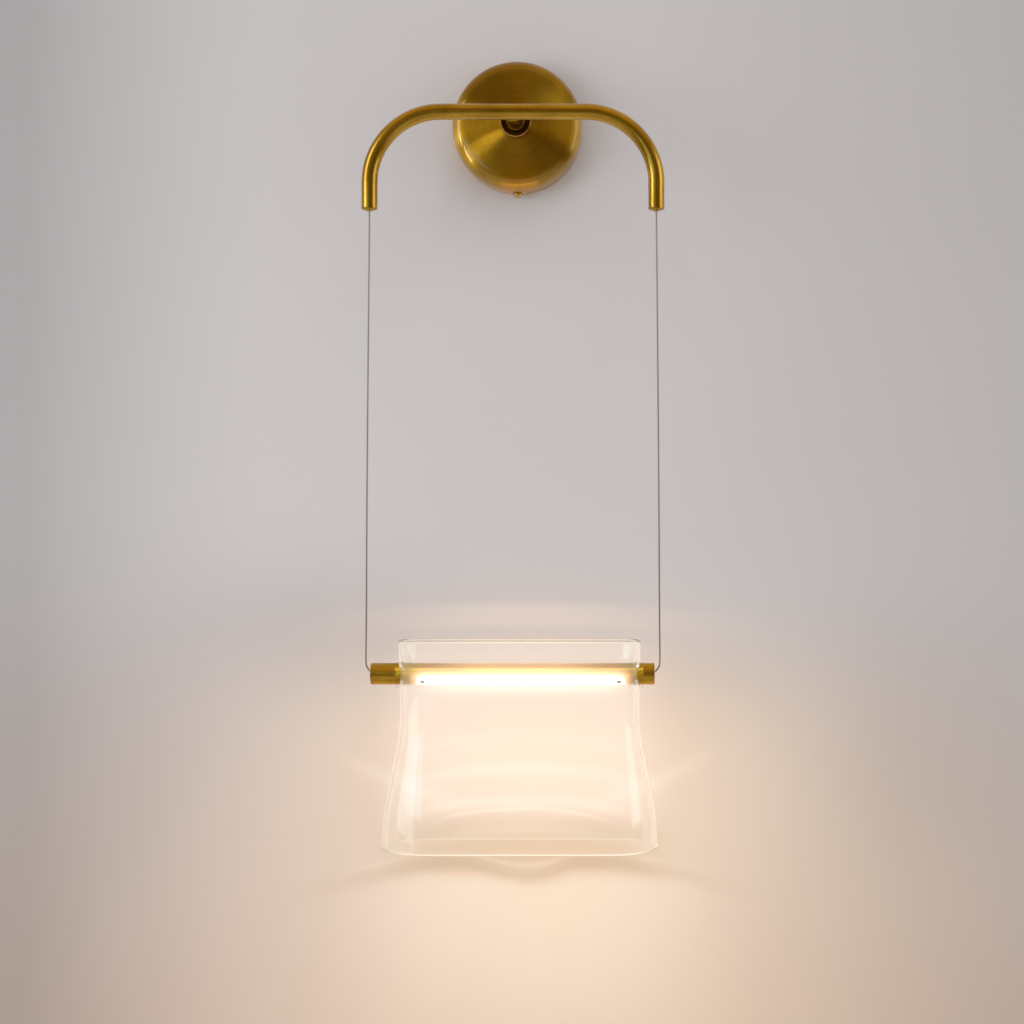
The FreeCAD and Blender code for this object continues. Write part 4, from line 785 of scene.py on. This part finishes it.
class LAMP_OT_stem(bpy.types.Operator):
    """Makes the ferrule and the stem, coped to the arch's tube"""
    bl_idname = "lamp.stem"
    bl_label = "Stem"

    def execute(self, context):
        material = brass((700.0, 90.0, 700.0), "stem_brass", 0.24)
        foot, seat, mouth = 30.0, 34.5, 38.0
        ferrule = rounded([(5.05, foot), (7.0, foot), (7.0, mouth), (6.05, mouth), (6.05, seat),
                           (5.05, seat)], [0.1, 0.1, 0.45, 0.1, 0.1, 0.1])
        turned_piece("stem_ferrule", "turned", finer(ferrule, 2 * MM), "-y", (0, 0, 0), "wall_bracket",
                     material)
        # Round the stem, the outside and the bore end where they meet the arch's tube, whose surface lies
        # behind its axis by the root of its radius squared less the height squared.
        turns, steps, root, gap = 96, 9, -seat * MM, 0.05 * MM
        angle = np.linspace(0, 2 * math.pi, turns, endpoint=False)
        radius = np.repeat([TUBE_RADIUS, TUBE_RADIUS - TUBE_WALL], steps)[:, None]
        share = np.concatenate([np.linspace(0, 1, steps), np.linspace(1, 0, steps)])[:, None]
        up = radius * np.sin(angle)
        across = radius * np.cos(angle)
        end = REACH + np.sqrt(np.maximum((TUBE_RADIUS + gap) ** 2 - up ** 2, 0))
        points = np.stack([np.broadcast_to(across, up.shape), root + (end - root) * share, up], axis=-1)
        add_mesh("stem_tube", "coped", points, grid_faces(2 * steps, turns, True, True), "wall_bracket",
                 material)
        return {"FINISHED"}


class LAMP_OT_arch(bpy.types.Operator):
    """Bends the arch's tube and closes its legs with their plugs"""
    bl_idname = "lamp.arch"
    bl_label = "Arch"

    def execute(self, context):
        # A closed loop of shares and radii runs along the outside from the left end to the right one, round
        # the lip into the bore and back. Each ring is the loop's radius about the arch's line.
        count, turns, lip = 240, 96, 0.0006
        out = np.linspace(lip, 1 - lip, count)
        turn = np.linspace(0, math.pi, 9)[1:-1]
        share = np.concatenate([out, 1 - lip + lip * np.sin(turn), out[::-1], lip - lip * np.sin(turn)])
        middle, half = TUBE_RADIUS - TUBE_WALL / 2, TUBE_WALL / 2
        radius = np.concatenate([np.full(count, middle + half), middle + half * np.cos(turn),
                                 np.full(count, middle - half), middle - half * np.cos(turn)])
        centre, outward = arch_line(share)
        angle = np.linspace(0, 2 * math.pi, turns, endpoint=False)
        toward = np.array((0.0, -1.0, 0.0))
        ring = (np.cos(angle)[None, :, None] * outward[:, None, :]
                + np.sin(angle)[None, :, None] * toward[None, None, :])
        points = centre[:, None, :] + radius[:, None, None] * ring
        uv = np.stack(np.broadcast_arrays(share[:, None], (angle / (2 * math.pi))[None, :]), axis=-1)
        add_mesh("arch_tube", "bent", points, grid_faces(len(share), turns, True, True), "wall_bracket",
                 self.along(), uv)
        plug = rounded([(0.8, 0.0), (1.9, 0.0), (5.95, 1.5), (4.95, 1.5), (4.95, 6.0), (0.8, 6.0)],
                       [0.1, 0.3, 0.12, 0.1, 0.1, 0.1])
        shine = brass((500.0, 500.0, 500.0), "plug_brass", 0.25)
        for label, sign in SIDES:
            turned_piece(f"end_plug_{label}", "turned", plug, "z", (sign * ARCH_SPAN, REACH, LEG_END),
                         "wall_bracket", shine, 72)
        return {"FINISHED"}

    @staticmethod
    def along():
        """Brass brushed along the tube: the noise is stretched along the tube's own map."""
        made = Nodes("arch_brass")
        fine = made.noise(made.place(scale=(26.0, 46.0, 1.0), uv="Along"), 3.0, 4.0, 0.7)
        coarse = made.noise(made.place(scale=(9.0, 5.0, 1.0), uv="Along"), 1.5, 3.0)
        cloud = made.noise(made.place(), 30.0, 3.0)
        drift = made.total(made.times(coarse, 0.5), made.times(cloud, 0.5))
        shader = brass_shader(made, fine, (0.32, 0.24), 0.2, (fine, 0.36, 0.66, 0.3),
                              (drift, 0.38, 0.62, 0.7), Coat_Weight=0.6, Coat_Roughness=0.10)
        return made.finish(shader.outputs["BSDF"])


class LAMP_OT_leg_ends(bpy.types.Operator):
    """Sets the clear sleeves under the arch's legs, with the wire's top end inside"""
    bl_idname = "lamp.leg_ends"
    bl_label = "Wire sleeves"

    def execute(self, context):
        material = clear_material("clear_sleeve", (0.97, 0.97, 0.95), 0.12, 1.2, 400.0, 0.05, 0.5)
        wire = rope_material("steel_wire_top")
        bend = np.linspace(0, math.pi / 2, 10)
        dome = np.stack([1.5 * np.sin(bend), -1.9 + 1.5 * np.cos(bend)], axis=-1)
        outline = np.concatenate([dome, [(1.45, -2.4), (1.22, -3.3), (1.12, -3.4), (0.0, -3.4)]]) * MM
        stub = np.array([(0.0, -0.7), (0.55, -0.75), (0.55, -3.3), (0.0, -3.35)]) * MM
        turns = 48
        skin = grid_faces(len(outline), turns, False, True).reshape(-1, 4)
        core = grid_faces(len(stub), turns, False, True).reshape(-1, 4) + len(outline) * turns
        for label, sign in SIDES:
            at = (sign * ARCH_SPAN, REACH, LEG_END)
            points = np.concatenate([turned_points(outline, "z", at, turns).reshape(-1, 3),
                                     turned_points(stub, "z", at, turns).reshape(-1, 3)])
            piece = add_mesh(f"wire_sleeve_{label}", "turned", points, np.concatenate([skin, core]),
                             "wire_sleeves", material)
            piece.data.materials.append(wire)
            for face in piece.data.polygons:
                away = np.array(face.center) - np.array(at)
                face.material_index = int(math.hypot(away[0], away[1]) < 0.6 * MM
                                          and -3.36 * MM < away[2] < -0.6 * MM)
        return {"FINISHED"}


class LAMP_OT_bar(bpy.types.Operator):
    """Makes the bar's tube with its long window, its caps and their nylon bushes"""
    bl_idname = "lamp.bar"
    bl_label = "Light bar"

    def execute(self, context):
        self.tube(brass((60.0, 900.0, 900.0), "bar_brass", 0.31, 0.6, painted_emission=self.painted_spill))
        cap = rounded([(3.0, 0.0), (8.0, 0.0), (8.0, 1.6), (6.95, 1.6), (6.95, 9.6), (3.0, 9.6)],
                      [0.15, 0.5, 0.08, 0.1, 0.3, 0.1])
        bush = rounded([(2.0, 0.0), (2.95, 0.0), (2.95, 10.5), (1.55, 10.5), (1.55, 4.6), (0.75, 4.6),
                        (0.75, 3.4), (2.0, 3.4)], 0.12, 4)
        faced = brass((300.0, 900.0, 900.0), "cap_brass", 0.24)
        nylon = plain_material("cap_nylon", (0.83, 0.80, 0.73), (0.76, 0.73, 0.66), 0.4, 120.0, 0.01)
        for label, axis, sign in (("left", "x", -1), ("right", "-x", 1)):
            at = (sign * BAR_FACE, REACH, BAR_LEVEL)
            turned_piece(f"end_cap_{label}", "turned", finer(cap, 1.5 * MM), axis, at, "light_bar",
                         faced, 96)
            turned_piece(f"cap_insulator_{label}", "turned", bush, axis, at, "light_bar",
                         nylon, 48)
        return {"FINISHED"}

    @staticmethod
    def tube(material):
        """At each place along the bar the section is a C that opens at the window by the angle whose sine is
        the window's half chord over the radius, and closes to a ring beyond its ends. The half chord is the
        window's half width, less the round of its ends."""
        middle, end, sides = WINDOW_MIDDLE, 0.4 * MM, 96
        straight = WINDOW_HALF - WINDOW_ROUND
        closing = straight + WINDOW_ROUND * np.cos(np.linspace(0, math.pi / 2, 22))
        along = np.unique(np.round(np.concatenate([
            [-BAR_HALF, BAR_HALF], np.linspace(end - BAR_HALF, middle - WINDOW_HALF, 12),
            middle - closing, np.linspace(middle - straight, middle + straight, 60), middle + closing,
            np.linspace(middle + WINDOW_HALF, BAR_HALF - end, 8)]), 8))
        past = np.maximum(np.abs(along - middle) - straight, 0)
        chord = np.sqrt(np.maximum(WINDOW_ROUND ** 2 - past ** 2, 0))[:, None]
        turn = np.linspace(0, 1, sides + 1)
        parts = []
        for size, order in ((BAR_RADIUS, turn), (BAR_RADIUS - TUBE_WALL, turn[::-1])):
            gap = np.arcsin(np.minimum(chord / size, 1))
            angle = gap + (2 * math.pi - 2 * gap) * order[None, :]
            outward, aside = -size * np.cos(angle), size * np.sin(angle)
            parts.append(np.stack(np.broadcast_arrays(
                along[:, None], outward * math.cos(WINDOW_AIM) + aside * math.sin(WINDOW_AIM),
                outward * math.sin(WINDOW_AIM) - aside * math.cos(WINDOW_AIM)), axis=-1))
        points = np.concatenate(parts, axis=1) + np.array((0.0, REACH, BAR_LEVEL))
        rows, columns = points.shape[:2]
        faces = grid_faces(rows, columns, False, True)
        open_here = (chord[:-1, 0] > 1e-9) | (chord[1:, 0] > 1e-9)
        keep = np.ones((rows - 1, columns), dtype=bool)
        keep[:, sides] = open_here
        keep[:, -1] = open_here
        index = np.arange(rows * columns).reshape(rows, columns)
        ring = np.arange(sides)
        ends = [np.stack([index[row, ring], index[row, ring + 1], index[row, columns - 2 - ring],
                          index[row, columns - 1 - ring]], axis=-1) for row in (0, rows - 1)]
        every = np.concatenate([faces[keep], *ends])
        piece = add_mesh("bar_tube", "cut", points, every, "light_bar", material)
        piece.data.set_sharp_from_angle(angle=math.radians(40))

    @staticmethod
    def painted_spill(made):
        """Painted glow of the light that spills from the window over the brass beside it: it fades round the
        bar away from the window's middle line and along the bar past the window's ends, and a fainter painted
        glow lies over the middle of the bar."""
        axes = made.add("SeparateXYZ", Vector=made.place(move=(-WINDOW_MIDDLE, -REACH, -BAR_LEVEL)))
        below = made.total(made.times(axes.outputs["Y"], -math.cos(WINDOW_AIM)),
                           made.times(axes.outputs["Z"], -math.sin(WINDOW_AIM)))
        aside = made.maths("ABSOLUTE", axes.outputs["X"])
        near = made.maths("POWER", made.spread(below, -BAR_RADIUS, 6.6 * MM), 5.0)
        beside = made.spread(aside, 70 * MM, 84 * MM, 1.0, 0.0, True)
        middle = made.spread(aside, 20 * MM, 86 * MM, 0.46, 0.01, True)
        return made.total(made.times(near, beside, 2.4), middle)


class LAMP_OT_shade(bpy.types.Operator):
    """Blows the glass shade, open above and below, with a hole in each narrow side for the bar"""
    bl_idname = "lamp.shade"
    bl_label = "Glass shade"

    def execute(self, context):
        """Rows run down the outside, round the hem's rim, up the inside and round the top's rim. Each row is
        the front or the back half of a section with straight long sides and round ends, and starts and
        stops at the side holes, at the angle whose sine is the hole's half width there over the end's
        radius. A fold of each half meets the other where there is no hole."""
        settings = look()
        low, high = SHADE_SECTIONS[-1, 0], SHADE_SECTIONS[0, 0]
        rim = min(settings.rim_radius, SHADE_WALL / 2)
        bend = np.linspace(0, math.pi, 11)
        hole = SHADE_HOLE * np.cos(np.linspace(math.pi, 0, 41))
        body_rows = np.unique(np.round(np.concatenate([
            np.linspace(low + rim, -SHADE_HOLE - 1 * MM, 94), hole,
            np.linspace(SHADE_HOLE + 1 * MM, high - rim, 20)]), 8))[::-1]
        height = np.concatenate([body_rows, low + rim - rim * np.sin(bend)[1:-1], body_rows[::-1],
                                 high - rim + rim * np.sin(bend)[1:-1]])
        flat = SHADE_WALL - 2 * rim
        across_rim = rim * (1 - np.cos(bend)) + flat * bend / math.pi
        count = len(body_rows)
        inset = np.concatenate([np.zeros(count), across_rim[1:-1], np.full(count, SHADE_WALL),
                                across_rim[::-1][1:-1]])
        knots = SHADE_SECTIONS[::-1, 0]
        sizes = closed_spline(knots, SHADE_SECTIONS[::-1, 1:], np.clip(height, low, high))
        straight = (sizes[:, 0] - sizes[:, 1])[:, None]
        waved = inset / SHADE_WALL * settings.shade_wave * (
            np.sin(height / (9.5 * MM)) * 0.5 + np.sin(height / (23 * MM) + 1.1))
        radius = (sizes[:, 1] - inset + waved * (np.abs(inset) > 0))[:, None]
        mouth = np.sqrt(np.maximum(SHADE_HOLE ** 2 - height ** 2, 0))[:, None]
        start = np.arcsin(np.minimum(mouth / radius, 0.999))
        arc = np.linspace(0, 1, 41)[None, :]
        run = np.linspace(-1, 1, 61)[None, 1:-1]
        angle = start + (math.pi / 2 - start) * arc
        left = np.stack([-straight - radius * np.cos(angle), radius * np.sin(angle)], axis=-1)
        middle = np.stack([straight * run, np.broadcast_to(radius, (len(radius), run.size))], axis=-1)
        right = left[:, ::-1] * np.array((-1.0, 1.0))
        half = np.concatenate([left, middle, right], axis=1)
        rows, columns = half.shape[:2]
        pieces, faces = [], []
        for side in (-1.0, 1.0):
            place = np.stack([half[..., 0] + SHADE_MIDDLE, half[..., 1] * side + REACH,
                              np.broadcast_to(height[:, None] + BAR_LEVEL, (rows, columns))], axis=-1)
            faces.append(grid_faces(rows, columns, True).reshape(-1, 4) + len(pieces) * rows * columns)
            pieces.append(place)
        # The wall of each hole joins the outer row of a height to the inner row of the same height.
        index = np.arange(2 * rows * columns).reshape(2, rows, columns)
        outer = np.arange(count)
        inner = count + len(bend) - 2 + (count - 1 - outer)
        within = np.nonzero((mouth[:count - 1, 0] > 1e-9) | (mouth[1:count, 0] > 1e-9))[0]
        for part in (0, 1):
            for column in (0, columns - 1):
                faces.append(np.stack([index[part, outer[within], column],
                                       index[part, outer[within + 1], column],
                                       index[part, inner[within + 1], column],
                                       index[part, inner[within], column]], axis=-1))
        glass = clear_material("clear_glass", (0.995, 0.998, 0.996), 0.004, 1.47, 26.0, 0.12,
                               light=self.painted_light)
        shade = add_mesh("glass_shade", "blown", np.concatenate([piece.reshape(-1, 3) for piece in pieces]),
                         np.concatenate(faces), "shade", glass)
        shade.data.set_sharp_from_angle(angle=math.radians(50))
        # A flag keeps the left strip off the shade, so that only the brass mirrors it.
        spared = bpy.data.collections.new("spared_by_left_strip")
        spared.objects.link(shade)
        spared.collection_objects[0].light_linking.link_state = "EXCLUDE"
        bpy.data.objects["left_strip"].light_linking.receiver_collection = spared
        return {"FINISHED"}

    @staticmethod
    def painted_light(made):
        """Painted glow: an emission that stands in for the lamp's light that the front half of the glass
        scatters: most near the bar, less towards the hem, and brighter in the narrow sides and at the
        fire-polished hem where it gathers, where it is a painted highlight."""
        axes = made.add("SeparateXYZ", Vector=made.place(move=(0, -REACH, -BAR_LEVEL)))
        deep, high = axes.outputs["Y"], axes.outputs["Z"]
        low = SHADE_SECTIONS[-1, 0]
        near = made.spread(high, low, 0.0, 0.044, 0.072)
        hem = made.spread(high, low, low + 1.5 * MM, 0.22, 0.0)
        front = made.spread(deep, -12.0 * MM, 6.0 * MM, 1.0, 0.0, True)
        sides = made.spread(made.maths("ABSOLUTE", deep), 0.0, 9.0 * MM, 0.09, 0.0)
        return made.total(sides, made.times(front, made.total(near, hem)))


class LAMP_OT_bushes(bpy.types.Operator):
    """Turns the clear silicone bushes that carry the shade on the bar"""
    bl_idname = "lamp.bushes"
    bl_label = "Bushes"

    def execute(self, context):
        material = clear_material("clear_silicone", (0.97, 0.97, 0.95), 0.10, 1.08, 200.0, 0.08, 0.3)
        for label, axis in (("left", "-x"), ("right", "x")):
            ends = [abs(corner[0] - SHADE_MIDDLE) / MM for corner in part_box(f"shade_bush_{label}")]
            inner, outer = min(ends), max(ends)
            outline = rounded([(8.05, inner), (8.85, inner), (8.85, outer - 1.5), (10.5, outer - 1.5),
                               (10.5, outer), (8.05, outer)], [0.2, 0.2, 0.1, 0.5, 0.5, 0.2])
            turned_piece(f"shade_bush_{label}", "moulded", finer(outline, 1.5 * MM), axis,
                         (SHADE_MIDDLE, REACH, BAR_LEVEL), "shade_bushes", material, 96)
        return {"FINISHED"}


class LAMP_OT_finishes(bpy.types.Operator):
    """Gives every solid that stays in sight its own finish"""
    bl_idname = "lamp.finishes"
    bl_label = "Finishes of the inner pieces"

    def execute(self, context):
        # Each finish has its colour, its deeper colour, its roughness and the scale of its clouds. A plain
        # one may add the height of its grain in millimetres, its sheen and the colour of a stripe.
        metals = {"plated_steel": ((0.62, 0.62, 0.60), (0.48, 0.49, 0.49), 0.32, 90.0),
                  "carrier_aluminium": ((0.74, 0.74, 0.75), (0.60, 0.60, 0.62), 0.34, 60.0)}
        plain = {
            "black_rubber": ((0.035, 0.035, 0.035), (0.02, 0.02, 0.02), 0.75, 120.0, 0.03),
            "black_lead": ((0.03, 0.03, 0.032), (0.018, 0.018, 0.02), 0.42, 90.0),
            "red_lead": ((0.46, 0.045, 0.035), (0.36, 0.03, 0.025), 0.4, 90.0),
            "white_lead": ((0.78, 0.78, 0.75), (0.70, 0.70, 0.67), 0.4, 90.0),
            "earth_lead": ((0.10, 0.38, 0.07), (0.07, 0.30, 0.05), 0.4, 90.0, 0.02, 0.0, (0.78, 0.68, 0.06)),
            "white_case": ((0.84, 0.84, 0.81), (0.78, 0.78, 0.75), 0.45, 70.0, 0.04),
            "grey_foam": ((0.27, 0.27, 0.28), (0.20, 0.20, 0.21), 0.9, 150.0, 0.2, 0.3),
            "natural_nylon": ((0.83, 0.80, 0.73), (0.76, 0.73, 0.66), 0.4, 120.0, 0.01),
            "white_board": ((0.88, 0.88, 0.85), (0.82, 0.82, 0.79), 0.35, 110.0, 0.01),
            "yellow_phosphor": ((0.92, 0.74, 0.22), (0.86, 0.66, 0.16), 0.25, 300.0, 0.01),
        }
        made = {"steel_wire": rope_material("steel_wire_end"), "polished_brass": polished(),
                "opal_lens": lens_material(look().lens_light)}
        for maker, table in ((metal_material, metals), (plain_material, plain)):
            for name, values in table.items():
                made[name] = maker(name, *values)
        replaced = {name for piece in bpy.data.objects for name in piece.get("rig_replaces", [])}
        for part in frame["record"]["subparts"]:
            node, slot = part["node"], part["material_slot"]
            if node in replaced:
                continue
            if slot not in made:
                raise RuntimeError(f"{node} has no finish for {slot}")
            for place in frame["nodes"][node].material_slots:
                place.material = made[slot]
        return {"FINISHED"}


OPERATORS = (LAMP_OT_stage, LAMP_OT_wires, LAMP_OT_rose, LAMP_OT_lock_screws, LAMP_OT_stem, LAMP_OT_arch,
             LAMP_OT_leg_ends, LAMP_OT_bar, LAMP_OT_shade, LAMP_OT_bushes, LAMP_OT_finishes)


class LAMP_PT_panel(bpy.types.Panel):
    """Lists the lamp's settings and its steps"""
    bl_idname = "LAMP_PT_panel"
    bl_label = "Wall Lamp"
    bl_space_type = "VIEW_3D"
    bl_region_type = "UI"
    bl_category = "Wall Lamp"

    def draw(self, context):
        settings = context.scene.lamp_properties
        for name in LampProperties.__annotations__:
            self.layout.prop(settings, name)
        for operator in OPERATORS:
            self.layout.operator(operator.bl_idname)


CLASSES = (LampProperties, *OPERATORS, LAMP_PT_panel)


def register():
    for thing in CLASSES:
        bpy.utils.register_class(thing)
    bpy.types.Scene.lamp_properties = bpy.props.PointerProperty(type=LampProperties)


def unregister():
    del bpy.types.Scene.lamp_properties
    for thing in reversed(CLASSES):
        bpy.utils.unregister_class(thing)


def main():
    register()
    for operator in OPERATORS:
        group, name = operator.bl_idname.split(".")
        getattr(getattr(bpy.ops, group), name)()


if __name__ == "__main__":
    main()
